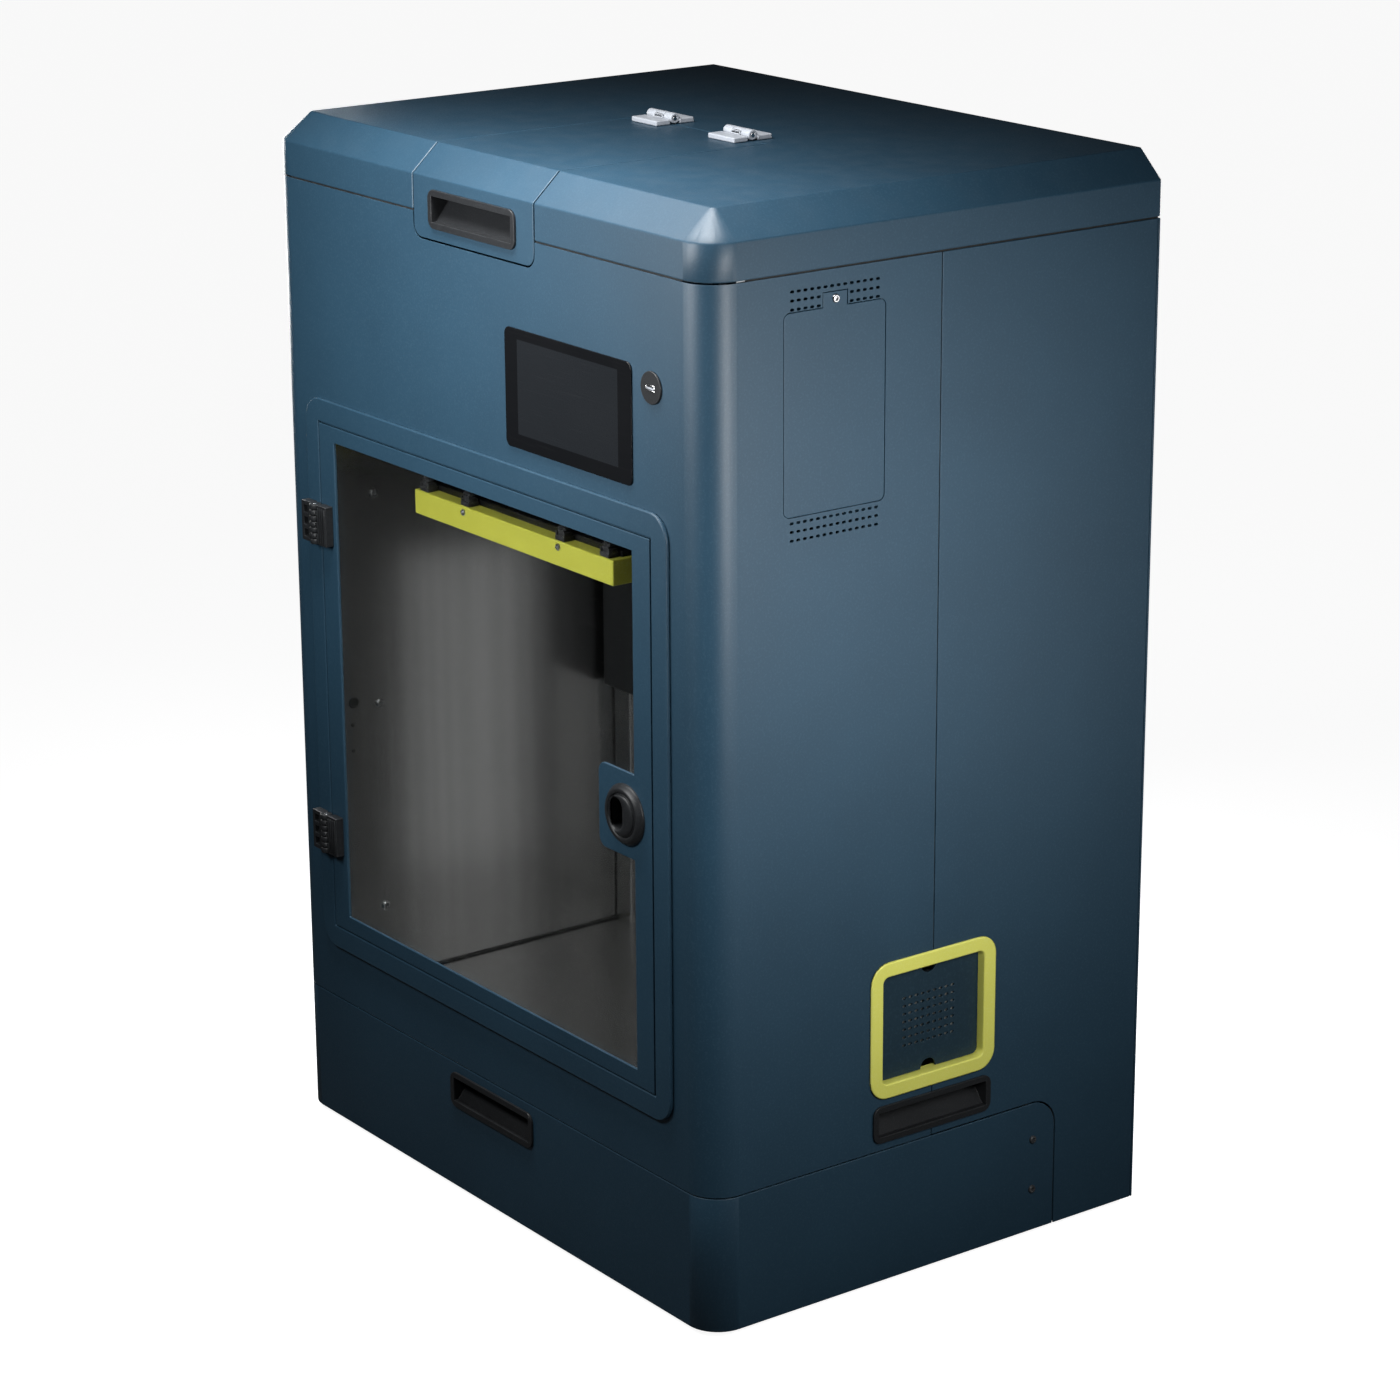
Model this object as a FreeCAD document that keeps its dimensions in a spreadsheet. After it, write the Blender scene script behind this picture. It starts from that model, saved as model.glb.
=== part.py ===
"""Parametric model of an enclosed printer: a dark cabinet with a glazed front door, a top hatch,
a drawer in its base, a stainless chamber with a lifting bed, and a print head on two axes.

Axes: +X is the right side seen from the front, the front faces -Y, +Z is up, and the origin is on the
floor under the middle of the cabinet. Sizes are millimetres.
"""
import FreeCAD, Part
import Sketcher
import math
import os
import re

SIZES = {
    "body_width": 700, "body_depth": 510, "body_height": 1020, "foot_height": 6,
    "sheet_wall": 2, "seam_gap": 1.5, "front_radius": 32, "panel_gap": 1,
    # lid and hatch
    "lid_depth": 59.6, "chamfer_inset": 28, "chamfer_drop": 25.6,
    "hatch_half": 97, "hatch_tab_drop": 83, "hatch_tab_radius": 12, "ledge_width": 10, "ledge_wall": 2,
    "hatch_hinge_x": 60, "hatch_hinge_width": 40, "hatch_hinge_reach": 22, "hatch_leaf_wall": 5,
    "hatch_knuckle": 5, "hatch_pin_rise": 5.5, "hatch_pin_radius": 2, "hinge_gap": 0.5, "pin_clear": 0.05,
    # recessed pulls
    "pull_width": 140, "pull_height": 36, "pull_radius": 9, "pull_proud": 2.5, "pull_depth": 24,
    "pull_border": 6, "pull_wall": 2, "pull_shallow": 3,
    "hatch_pull_drop": 54, "drawer_pull_rise": 104, "lift_pull_above": 26.5,
    # door
    "surround_margin": 54, "surround_rise": 188.5, "surround_drop": 267.5, "surround_proud": 4,
    "surround_radius": 24, "surround_band": 24, "leaf_wall": 3, "leaf_lap": 6, "seal_wall": 0.7,
    "seal_band": 4, "seal_inset": 1, "glass_wall": 4, "glass_clear": 3,
    "window_side": 26.5, "window_end": 15.5,
    "latch_edge": 39, "latch_drop": 552, "latch_radius": 28.5, "latch_bore": 20.3, "latch_proud": 6,
    "latch_tab_reach": 81, "latch_tab_half": 40, "latch_tab_radius": 10,
    "knob_gap": 0.3, "knob_proud": 5.3, "finger_offset": 7, "finger_half_width": 9.5,
    "finger_half_height": 15, "finger_depth": 12,
    "cam_length": 44, "cam_half": 9, "cam_wall": 3, "cam_clear": 1,
    "hinge_width": 44, "hinge_height": 40, "hinge_pin_proud": 6.4, "hinge_block_wall": 9,
    "hinge_knuckle": 6, "hinge_pin_radius": 2, "hinge_upper_drop": 391, "hinge_lower_rise": 311,
    "hinge_window": 7.5, "hinge_window_pitch": 12, "hinge_window_depth": 6,
    # touch panel and socket on the front
    "display_width": 194, "display_height": 109.5, "display_x": 147, "display_drop": 196.5,
    "display_radius": 7, "display_proud": 1.6, "display_border": 10, "display_depth": 9,
    "socket_x": 273, "socket_drop": 158.4, "socket_radius": 14.5, "socket_proud": 2, "socket_barrel": 11,
    "socket_depth": 16, "socket_slot_width": 13, "socket_slot_height": 5.6, "tongue_wall": 2,
    # service cover and vents on the right
    "cover_width": 110, "cover_height": 178, "cover_y": -118, "cover_drop": 182, "cover_radius": 6,
    "cover_gap": 0.8, "cover_ledge": 8, "cover_ledge_wall": 1.5, "cover_tab_width": 26,
    "cover_tab_height": 13, "screw_radius": 4, "screw_head": 2, "cover_screw_rise": 7,
    "slot_width": 4.4, "slot_height": 2.6, "slot_pitch": 7.14, "slot_row_pitch": 7.75,
    "vent_columns": 14, "vent_rows": 3, "vent_upper_drop": 82.5, "vent_lower_drop": 284.2,
    # filter on the right
    "filter_above": 117.5, "ring_width": 148, "ring_height": 133, "ring_radius": 20, "ring_band": 14.3,
    "ring_bore_radius": 6, "sleeve_wall": 2, "sleeve_depth": 14, "filter_recess": 6, "filter_wall": 2,
    "filter_clear": 0.8, "notch_radius": 9, "filter_columns": 9, "filter_rows": 7,
    "cartridge_depth": 22, "housing_wall": 2, "fan_size": 92, "fan_depth": 25, "fan_bore": 43,
    "fan_blade_radius": 41, "fan_hub_radius": 17, "fan_blades": 7, "fan_blade_wall": 1.6,
    "fan_blade_pitch": 38, "fan_hub_gap": 0.4, "fan_boss_radius": 15,
    # base, drawer and inner frame
    "pan_wall": 3, "pan_rise": 6, "pan_inset": 5, "foot_radius": 24, "foot_inset_x": 75, "foot_inset_y": 60,
    "plinth_inset": 20, "plinth_width": 18, "tube_wall": 2, "plinth_start": 34,
    "drawer_height": 131.5, "wing_length": 407, "wing_radius": 28, "box_wall": 1.5, "box_clear": 4,
    "box_length": 392, "box_height": 84, "rail_depth": 10, "rail_height": 18, "rail_rise": 52,
    "slide_depth": 9, "slide_height": 10, "slide_gap": 0.3, "slide_overhang": 3, "rail_start": 42,
    "glide_length": 40, "glide_height": 70, "glide_inset": 18, "glide_gap": 0.4,
    "wing_screw_inset": 27, "wing_screw_low": 43, "wing_screw_high": 94,
    "post_size": 25, "top_rail_height": 20, "floor_wall": 3.5,
    # stainless chamber
    "side_bay": 65, "rear_bay": 132.5, "steel_wall": 1.5, "deck_drop": 285, "deck_wall": 3,
    "stud_radius": 4, "stud_head": 3, "stud_setback": 65, "stud_low": 214, "stud_mid": 429, "stud_high": 645,
    "heater_width": 76, "heater_depth": 45, "heater_gap": 8, "heater_rise": 400, "heater_height": 296,
    "duct_width": 27, "duct_depth": 28, "duct_gap": 2, "port_radius": 5, "port_setback": 20, "port_rise": 425,
    # lifting bed
    "bed_half": 163, "bed_setback": 36, "bar_depth": 25, "bar_height": 24, "bar_drop": 341,
    "heater_plate_wall": 6, "plate_wall": 4, "plate_setback": 14, "plate_inset": 5,
    "clamp_width": 14, "clamp_depth": 13, "clamp_wall": 2.5, "clamp_reach": 4, "clamp_gap": 0.2,
    "clamp_knob_radius": 4.5, "clamp_knob_height": 7, "clamp_outer_x": 148, "clamp_inner_x": 78,
    "bar_screw_x": 76, "carriage_half": 150, "carriage_wall": 8, "carriage_drop": 90,
    "arm_x": 110, "arm_wall": 6, "arm_front": 70, "arm_front_height": 12, "arm_rear_height": 80,
    "guide_width": 15, "guide_depth": 12, "guide_clear": 0.15, "block_width": 34, "block_depth": 14,
    "block_length": 90, "guide_floor_gap": 6, "guide_top_gap": 20,
    "lead_radius": 6, "lead_clear": 0.05, "lead_offset": 16, "nut_half": 18, "nut_height": 26,
    "bearing_radius": 15, "bearing_height": 10, "lead_end_gap": 0.3, "lead_deck_clear": 3,
    "motor_size": 42, "motor_length": 40, "lift_motor_size": 56, "lift_motor_length": 60,
    # gantry and print head
    "gantry_setback": 225, "gantry_rail_inset": 30, "gantry_rail_start": 45, "truck_half": 22,
    "truck_length": 64, "truck_height": 20, "beam_size": 30, "deck_open_inset": 28, "deck_open_front": 30,
    "deck_open_rear": 66, "deck_front_gap": 6,
    "cross_rail_height": 12, "cross_rail_depth": 8, "cross_rail_half": 185, "pulley_x": 200,
    "pulley_radius": 8.5, "pulley_width": 8, "belt_gap": 0.1, "belt_wall": 1.3, "belt_width": 6,
    "belt_offset": 1, "truck_belt_gap": 0.5, "idler_size": 20, "idler_wall": 12,
    "slider_half": 30, "slider_depth": 22, "slider_lip": 2.2, "slider_lip_length": 6,
    "head_half": 52, "head_depth": 70, "head_below": 44, "head_above": 75, "head_radius": 8,
    "hotend_x": 18, "hotend_setback": 35, "sink_radius": 10, "block_height": 12, "block_half": 9,
    "nozzle_height": 5, "nozzle_radius": 4, "nozzle_tip": 0.8, "nozzle_gap": 2,
    # electronics and the back
    "inlet_flange": 2.5, "inlet_width": 48, "inlet_height": 68, "inlet_x": -220, "inlet_rise": 230,
    "inlet_depth": 30, "inlet_border": 5, "socket_width": 28, "socket_height": 20, "socket_pin_depth": 16,
    "socket_place": 14, "switch_width": 22, "switch_height": 15, "switch_place": 18, "switch_depth": 9,
    "switch_clear": 0.6, "switch_tilt": 8, "switch_pivot_radius": 1.5,
    "supply_width": 215, "supply_height": 115, "supply_depth": 50, "supply_x": 60, "supply_rise": 250,
    "board_width": 100, "board_height": 150, "board_wall": 1.6, "board_standoff": 8,
    "standoff_radius": 3, "bracket_wall": 2, "bracket_inset": 40, "bracket_foot": 25, "chip_height": 12,
    "back_vent_columns": 16, "back_vent_rows": 4, "back_vent_width": 14, "back_vent_height": 4,
    "back_vent_pitch": 20, "back_vent_row_pitch": 10, "back_vent_drop": 150,
}

doc = FreeCAD.newDocument("EnclosedPrinter")
sheet = doc.addObject("Spreadsheet::Sheet", "Size")
for row, (alias, value) in enumerate(SIZES.items(), 1):
    sheet.set(f"A{row}", alias)
    sheet.set(f"B{row}", str(value))
    sheet.setAlias(f"B{row}", alias)
doc.recompute()

# Named levels and planes, worked out from the sheet
HALF = "(body_width / 2)"
INNER = "(body_width / 2 - sheet_wall)"
FRONT = "((surround_proud + hinge_pin_proud + hinge_knuckle - inlet_flange - body_depth) / 2)"
REAR = f"({FRONT} + body_depth)"
MIDDLE = f"({FRONT} + body_depth / 2)"
TOP = "(foot_height + body_height)"
LID_EDGE = f"({TOP} - lid_depth + seam_gap / 2)"
SHELL_TOP = f"({TOP} - lid_depth - seam_gap / 2)"
DRAWER_TOP = "(foot_height + drawer_height - seam_gap / 2)"
SHELL_LOW = "(foot_height + drawer_height + seam_gap / 2)"
FLOOR_TOP = f"({SHELL_LOW} + floor_wall)"
PAN_LOW = "(foot_height + pan_rise)"
PAN_TOP = f"({PAN_LOW} + pan_wall)"
BACK_WALL = f"({REAR} - rear_bay)"
CHAMBER_HALF = "(body_width / 2 - side_bay)"
DECK_LOW = f"({TOP} - deck_drop)"
DECK_TOP = f"({DECK_LOW} + deck_wall)"
PLINTH_OUT = "(body_width / 2 - plinth_inset)"
PLINTH_IN = f"({PLINTH_OUT} - plinth_width)"
BOX_HALF = f"({PLINTH_IN} - rail_depth - slide_overhang)"
SURROUND_HALF = "(body_width / 2 - surround_margin)"
SURROUND_LOW = "(foot_height + surround_rise)"
SURROUND_HIGH = f"({TOP} - surround_drop)"
SURROUND_FACE = f"({FRONT} - surround_proud)"
LEAF_HALF = f"({SURROUND_HALF} - surround_band)"
LEAF_LOW = f"({SURROUND_LOW} + surround_band)"
LEAF_HIGH = f"({SURROUND_HIGH} - surround_band)"
LEAF_BACK = f"({SURROUND_FACE} + leaf_wall)"
GLASS_BACK = f"({LEAF_BACK} + glass_wall)"
LATCH_X = f"({LEAF_HALF} - latch_edge)"
LATCH_Z = f"({TOP} - latch_drop)"
PIN_X = f"(-{LEAF_HALF} - seam_gap / 2)"
PIN_Y = f"({SURROUND_FACE} - hinge_pin_proud)"
HATCH_PIN_Z = f"({TOP} + hatch_pin_rise)"
LIFT_Z = "(foot_height + drawer_height + lift_pull_above)"
FILTER_Z = "(foot_height + drawer_height + filter_above)"
RING_IN_HALF = "(ring_width / 2 - ring_band)"
RING_IN_TALL = "(ring_height / 2 - ring_band)"
COVER_Y = f"({MIDDLE} + cover_y)"
COVER_Z = f"({TOP} - cover_drop)"
BAR_TOP = f"({TOP} - bar_drop)"
BAR_LOW = f"({BAR_TOP} - bar_height)"
BED_FRONT = f"({FRONT} + bed_setback)"
CARRIAGE_BACK = f"({BACK_WALL} - guide_depth - block_depth)"
CARRIAGE_FRONT = f"({CARRIAGE_BACK} - carriage_wall)"
LEAD_Y = f"({BACK_WALL} - lead_offset)"
BEAM_Y = f"({FRONT} + gantry_setback)"
GANTRY_X = f"({CHAMBER_HALF} - gantry_rail_inset)"
TRUCK_TOP = f"({DECK_TOP} + guide_depth + truck_height)"
BEAM_Z = f"({TRUCK_TOP} + beam_size / 2)"
BEAM_FACE = f"({BEAM_Y} - beam_size / 2)"
BELT_X = f"({GANTRY_X} + truck_half + truck_belt_gap)"
BELT_Z = f"({DECK_TOP} + motor_size / 2)"
PLATE_TOP = f"({BAR_TOP} + heater_plate_wall + plate_wall)"
INLET_Z = "(foot_height + inlet_rise)"

AXIS_TURN = {
    "X": FreeCAD.Rotation(FreeCAD.Vector(0, 1, 0), 90),
    "Y": FreeCAD.Rotation(FreeCAD.Vector(1, 0, 0), -90),
    "Z": FreeCAD.Rotation(),
}


def sized(text):
    """Point every size name in an expression at the sheet."""
    return re.sub(r"[a-z_]+[a-z0-9_]*", lambda m: f"Size.{m[0]}" if m[0] in SIZES else m[0], text)


def number(text):
    """The present value of an expression, in millimetres."""
    return float(sheet.evalExpression(sized(text)))


def bind(item, **sizes):
    """Tie properties to expressions; a double underscore stands for a dot."""
    for prop, text in sizes.items():
        item.setExpression(prop.replace("__", "."), sized(text))
    return item


def place(item, x="0", y="0", z="0"):
    return bind(item, Placement__Base__x=x, Placement__Base__y=y, Placement__Base__z=z)


def around(centre, half):
    """Limits at equal distances from a centre."""
    return f"({centre} - {half})", f"({centre} + {half})"


def beside(centre, way, near, far):
    """Limits at two distances from a centre, on its positive (1) or negative (-1) side."""
    if way > 0:
        return f"({centre} + {near})", f"({centre} + {far})"
    return f"({centre} - {far})", f"({centre} - {near})"


def on_side(sign, near, far):
    """Limits measured outwards from the middle, on the right (1) or the left (-1)."""
    return beside("0", sign, near, far)


def mirrored(sign, distance):
    """A place at a distance from the middle, on the right (1) or the left (-1)."""
    return distance if sign > 0 else f"(-{distance})"


def block(name, x, y, z):
    """A box between three pairs of limits."""
    item = doc.addObject("Part::Box", name)
    bind(item, Length=f"{x[1]} - {x[0]}", Width=f"{y[1]} - {y[0]}", Height=f"{z[1]} - {z[0]}")
    return place(item, x[0], y[0], z[0])


def rod(name, axis, start, radius, length):
    """A cylinder that runs from a point along one axis."""
    item = doc.addObject("Part::Cylinder", name)
    item.Placement = FreeCAD.Placement(FreeCAD.Vector(), AXIS_TURN[axis])
    bind(item, Radius=radius, Height=length)
    return place(item, *start)


def cut(name, base, *tools):
    """Take tools away from a solid, one after another."""
    for index, tool in enumerate(tools):
        last = index == len(tools) - 1
        item = doc.addObject("Part::Cut", name if last else f"{name}_step{index}")
        item.Base = base
        item.Tool = tool
        base = item
    return base


def join(name, *solids):
    item = doc.addObject("Part::MultiFuse", name)
    item.Shapes = list(solids)
    item.Refine = True
    return item


def overlap(name, first, second):
    item = doc.addObject("Part::Common", name)
    item.Base = first
    item.Tool = second
    return item


def group(name, *solids):
    """Like pieces kept as separate solids of one sub-part."""
    item = doc.addObject("Part::Compound", name)
    item.Links = list(solids)
    return item


def rectangle(u, v, radius=None):
    """Corners of a rectangle, counterclockwise, each with its rounding."""
    return [(u[0], v[0], radius), (u[1], v[0], radius), (u[1], v[1], radius), (u[0], v[1], radius)]


def toward(start, end):
    return [(b > a) - (b < a) if abs(b - a) > 1e-6 else 0 for a, b in zip(start, end)]


def draw_outline(sketch, corners):
    """Draw a closed outline whose corners are tied to the sheet, with an arc at each rounded one."""
    spots = [(number(u), number(v)) for u, v, _ in corners]
    count = len(corners)
    entries, exits = [], []
    for index, (u, v, radius) in enumerate(corners):
        if radius is None:
            entries.append((u, v))
            exits.append((u, v))
            continue
        before = toward(spots[index - 1], spots[index])
        after = toward(spots[index], spots[(index + 1) % count])
        entries.append((f"{u} - ({before[0]}) * {radius}", f"{v} - ({before[1]}) * {radius}"))
        exits.append((f"{u} + ({after[0]}) * {radius}", f"{v} + ({after[1]}) * {radius}"))
    lines = []
    for index in range(count):
        following = (index + 1) % count
        start = FreeCAD.Vector(*map(number, exits[index]), 0)
        end = FreeCAD.Vector(*map(number, entries[following]), 0)
        lines.append(sketch.addGeometry(Part.LineSegment(start, end)))
    for index in range(count):
        following = (index + 1) % count
        pin_point(sketch, lines[index], 1, exits[index])
        if corners[following][2] is None:
            sketch.addConstraint(Sketcher.Constraint("Coincident", lines[index], 2, lines[following], 1))
        else:
            pin_point(sketch, lines[index], 2, entries[following])
    for index, (u, v, radius) in enumerate(corners):
        if radius is not None:
            round_corner(sketch, lines[index - 1], lines[index], entries[index], exits[index], (u, v), radius)


def pin_point(sketch, line, end, spot):
    for kind, text in zip(("DistanceX", "DistanceY"), spot):
        row = sketch.addConstraint(Sketcher.Constraint(kind, -1, 1, line, end, number(text)))
        sketch.setExpression(f"Constraints[{row}]", sized(text))


def round_corner(sketch, line_in, line_out, entry, leave, corner, radius):
    start = FreeCAD.Vector(*map(number, entry), 0)
    end = FreeCAD.Vector(*map(number, leave), 0)
    tip = FreeCAD.Vector(*map(number, corner), 0)
    middle = start + end - tip
    hollow = (tip - start).cross(end - tip).z < 0
    first, second = (end, start) if hollow else (start, end)
    angles = [math.atan2(p.y - middle.y, p.x - middle.x) for p in (first, second)]
    circle = Part.Circle(middle, FreeCAD.Vector(0, 0, 1), number(radius))
    arc = sketch.addGeometry(Part.ArcOfCircle(circle, *angles))
    sketch.addConstraint(Sketcher.Constraint("Coincident", line_in, 2, arc, 2 if hollow else 1))
    sketch.addConstraint(Sketcher.Constraint("Coincident", line_out, 1, arc, 1 if hollow else 2))
    row = sketch.addConstraint(Sketcher.Constraint("Radius", arc, number(radius)))
    sketch.setExpression(f"Constraints[{row}]", sized(radius))


def draw_circle(sketch, u, v, radius):
    middle = FreeCAD.Vector(number(u), number(v), 0)
    ring = sketch.addGeometry(Part.Circle(middle, FreeCAD.Vector(0, 0, 1), number(radius)))
    pin_point(sketch, ring, 3, (u, v))
    row = sketch.addConstraint(Sketcher.Constraint("Radius", ring, number(radius)))
    sketch.setExpression(f"Constraints[{row}]", sized(radius))


def new_sketch(body, name, plane, level):
    sketch = body.newObject("Sketcher::SketchObject", name)
    origin = [item for item in body.Origin.OriginFeatures if item.Role == f"{plane}_Plane"][0]
    sketch.AttachmentSupport = [(origin, "")]
    sketch.MapMode = "FlatFace"
    return bind(sketch, AttachmentOffset__Base__z=level)


def panel(name, plane, across, *outlines, circles=()):
    """A flat piece: outlines drawn on a plane (the first one outside, the rest holes) and padded."""
    body = doc.addObject("PartDesign::Body", name)
    level = f"-({across[1]})" if plane == "XZ" else across[0]
    sketch = new_sketch(body, f"{name}_outline", plane, level)
    for corners in outlines:
        draw_outline(sketch, corners)
    for u, v, radius in circles:
        draw_circle(sketch, u, v, radius)
    pad = body.newObject("PartDesign::Pad", f"{name}_pad")
    pad.Profile = sketch
    bind(pad, Length=f"{across[1]} - {across[0]}")
    return body


def cabinet_outline(half, front, rear, radius):
    """Plan of the cabinet: rounded front corners and square rear ones."""
    return [(f"-{half}", rear, None), (f"-{half}", front, radius), (half, front, radius), (half, rear, None)]


def taper(name, low, high):
    """A straight-sided loft between two cabinet outlines at their levels."""
    body = doc.addObject("PartDesign::Body", name)
    sketches = []
    for tag, (outline, level) in (("low", low), ("high", high)):
        sketch = new_sketch(body, f"{name}_{tag}", "XY", level)
        draw_outline(sketch, outline)
        sketches.append(sketch)
    loft = body.newObject("PartDesign::AdditiveLoft", f"{name}_loft")
    loft.Profile = sketches[0]
    loft.Sections = sketches[1:]
    loft.Ruled = True
    return body


def slot_field(name, plane, centre, columns, rows, pitch, row_pitch, width, height, length, skip=()):
    """Cutter of round-ended slots in rows, centred on a point and pushed through one plane both ways."""
    wide, tall, reach = number(width), number(height), number(length)
    run = (wide - tall) / 2
    solids = []
    for row in range(rows):
        for column in range(columns):
            if (row, column) in skip:
                continue
            u = (column - (columns - 1) / 2) * number(pitch)
            v = (row - (rows - 1) / 2) * number(row_pitch)
            spots = [(u - run, v - tall / 2), (u + run, v - tall / 2), (u + wide / 2, v),
                     (u + run, v + tall / 2), (u - run, v + tall / 2), (u - wide / 2, v)]
            points = [FreeCAD.Vector(*spot, -reach) for spot in spots]
            edges = [Part.LineSegment(points[0], points[1]), Part.Arc(*points[1:4]),
                     Part.LineSegment(points[3], points[4]), Part.Arc(points[4], points[5], points[0])]
            face = Part.Face(Part.Wire([edge.toShape() for edge in edges]))
            solids.append(face.extrude(FreeCAD.Vector(0, 0, 2 * reach)))
    item = doc.addObject("Part::Feature", name)
    item.Shape = Part.makeCompound(solids)
    turn = FreeCAD.Rotation(FreeCAD.Vector(1, 0, 0), 90)
    if plane == "YZ":
        turn = FreeCAD.Rotation(FreeCAD.Vector(0, 0, 1), 90).multiply(turn)
    item.Placement = FreeCAD.Placement(FreeCAD.Vector(*map(number, centre)), turn)
    return item


def pull(name, turn, x, y, z):
    """A recessed pull with a bezel; its pocket gets deeper towards the top so that fingers hook in."""
    half_width, half_height = "(pull_width / 2)", "(pull_height / 2)"
    hole_width, hole_height = f"({half_width} - pull_border)", f"({half_height} - pull_border)"
    bezel = panel(f"{name}_bezel", "XZ", ("-pull_proud", "0"),
                  rectangle(around("0", half_width), around("0", half_height), "pull_radius"))
    cup = block(f"{name}_cup", around("0", f"({hole_width} + pull_wall)"), ("0", "pull_depth"),
                around("0", f"({hole_height} + pull_wall)"))
    floor_line = [("-2 * pull_proud", f"-{hole_height}", None), ("pull_shallow", f"-{hole_height}", None),
                  ("(pull_depth - pull_wall)", hole_height, None), ("-2 * pull_proud", hole_height, None)]
    pocket = panel(f"{name}_pocket", "YZ", around("0", hole_width), floor_line)
    item = cut(name, join(f"{name}_blank", bezel, cup), pocket)
    item.Placement = FreeCAD.Placement(FreeCAD.Vector(), FreeCAD.Rotation(FreeCAD.Vector(0, 0, 1), turn))
    return place(item, x, y, z)


def pull_hole(name, turn, x, y, z):
    """Cutter for the hole that a recessed pull drops into."""
    half_width = "(pull_width / 2 - pull_border + pull_wall)"
    half_height = "(pull_height / 2 - pull_border + pull_wall)"
    item = block(f"{name}_hole", around("0", half_width), ("-pull_depth", "pull_depth"),
                 around("0", half_height))
    holder = group(name, item)
    holder.Placement = FreeCAD.Placement(FreeCAD.Vector(), FreeCAD.Rotation(FreeCAD.Vector(0, 0, 1), turn))
    return place(holder, x, y, z)


def screw_heads(name, axis, sign, spots, radius, height):
    """Low round screw heads that stand on a face; sign says which way they point."""
    heads = []
    for index, (x, y, z) in enumerate(spots):
        spot = {"X": x, "Y": y, "Z": z}
        if sign < 0:
            spot[axis] = f"({spot[axis]} - {height})"
        heads.append(rod(f"{name}_{index}", axis, (spot["X"], spot["Y"], spot["Z"]), radius, height))
    return group(name, *heads)


def racetrack(name, plane, first, second, level, radius, wall, width):
    """A flat belt around two equal pulleys whose centres lie along the first axis of the plane."""
    rings = []
    for tag, reach in (("out", f"({radius} + {wall})"), ("in", radius)):
        rings.append(pill(f"{name}_{tag}", plane, (level, f"({level} + {width})"), first, second, reach))
    return cut(name, *rings)


def pill(name, plane, across, first, second, radius):
    """A round-ended bar between two centres."""
    axis = "X" if plane == "YZ" else "Y"
    spots = []
    for centre in (first, second):
        spots.append((across[0], centre[0], centre[1]) if axis == "X" else (centre[0], across[0], centre[1]))
    length = f"({across[1]} - {across[0]})"
    ends = [rod(f"{name}_end{index}", axis, spot, radius, length) for index, spot in enumerate(spots)]
    span, tall = (first[0], second[0]), around(first[1], radius)
    limits = (across, span, tall) if axis == "X" else (span, across, tall)
    return join(name, block(f"{name}_bar", *limits), *ends)


# Base, drawer and frame

def make_base_pan():
    half = f"({PLINTH_OUT} + pan_inset)"
    return block("base_pan", around("0", half), (f"({FRONT} + plinth_start)", f"({REAR} - sheet_wall)"),
                 (PAN_LOW, PAN_TOP))


def make_feet():
    feet = []
    for sign in (1, -1):
        x = mirrored(sign, "(body_width / 2 - foot_inset_x)")
        for tag, y in (("front", f"({FRONT} + foot_inset_y)"), ("rear", f"({REAR} - foot_inset_y)")):
            feet.append(rod(f"foot_{tag}{sign + 1}", "Z", (x, y, "0"), "foot_radius", PAN_LOW))
    return group("levelling_feet", *feet)


def tube(name, x, y, z, along):
    """A square steel tube, hollow along one axis."""
    outer = block(f"{name}_outer", x, y, z)
    limits = []
    for axis, (low, high) in zip("XYZ", (x, y, z)):
        inset = "0" if axis == along else "tube_wall"
        limits.append((f"({low} + {inset})", f"({high} - {inset})"))
    return cut(name, outer, block(f"{name}_bore", *limits))


def make_plinths():
    y = (f"({FRONT} + plinth_start)", f"({REAR} - sheet_wall)")
    return [tube(f"plinth_{sign + 1}", on_side(sign, PLINTH_IN, PLINTH_OUT), y, (PAN_TOP, SHELL_LOW), "Y")
            for sign in (1, -1)]


def make_frame():
    members = make_plinths()
    post_in = f"({INNER} - post_size)"
    post_start = f"({FRONT} + front_radius + sheet_wall)"
    front_post = (post_start, f"({post_start} + post_size)")
    rear_post = (f"({REAR} - sheet_wall - post_size)", f"({REAR} - sheet_wall)")
    rail_z = (f"({SHELL_TOP} - top_rail_height / 2)", f"({SHELL_TOP} + top_rail_height / 2)")
    for sign in (1, -1):
        x = on_side(sign, post_in, INNER)
        for tag, y in (("front", front_post), ("rear", rear_post)):
            members.append(tube(f"post_{tag}{sign + 1}", x, y, (FLOOR_TOP, rail_z[0]), "Z"))
        members.append(tube(f"top_rail{sign + 1}", x, (front_post[0], rear_post[1]), rail_z, "Y"))
    members.append(tube("rear_rail", (f"-{post_in}", post_in), rear_post, rail_z, "X"))
    return group("inner_frame", *members)


def make_floor():
    plate = panel("floor_plate", "XY", (SHELL_LOW, FLOOR_TOP),
                  cabinet_outline(INNER, f"({FRONT} + sheet_wall)", f"({REAR} - sheet_wall)",
                                  "(front_radius - sheet_wall)"))
    boss = rod("lead_bearing", "Z", ("0", LEAD_Y, FLOOR_TOP), "bearing_radius", "bearing_height")
    bore = rod("lead_bearing_bore", "Z", ("0", LEAD_Y, FLOOR_TOP), "(lead_radius + lead_clear)",
               "bearing_height")
    return cut("chamber_floor", join("floor_blank", plate, boss), bore)


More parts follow.
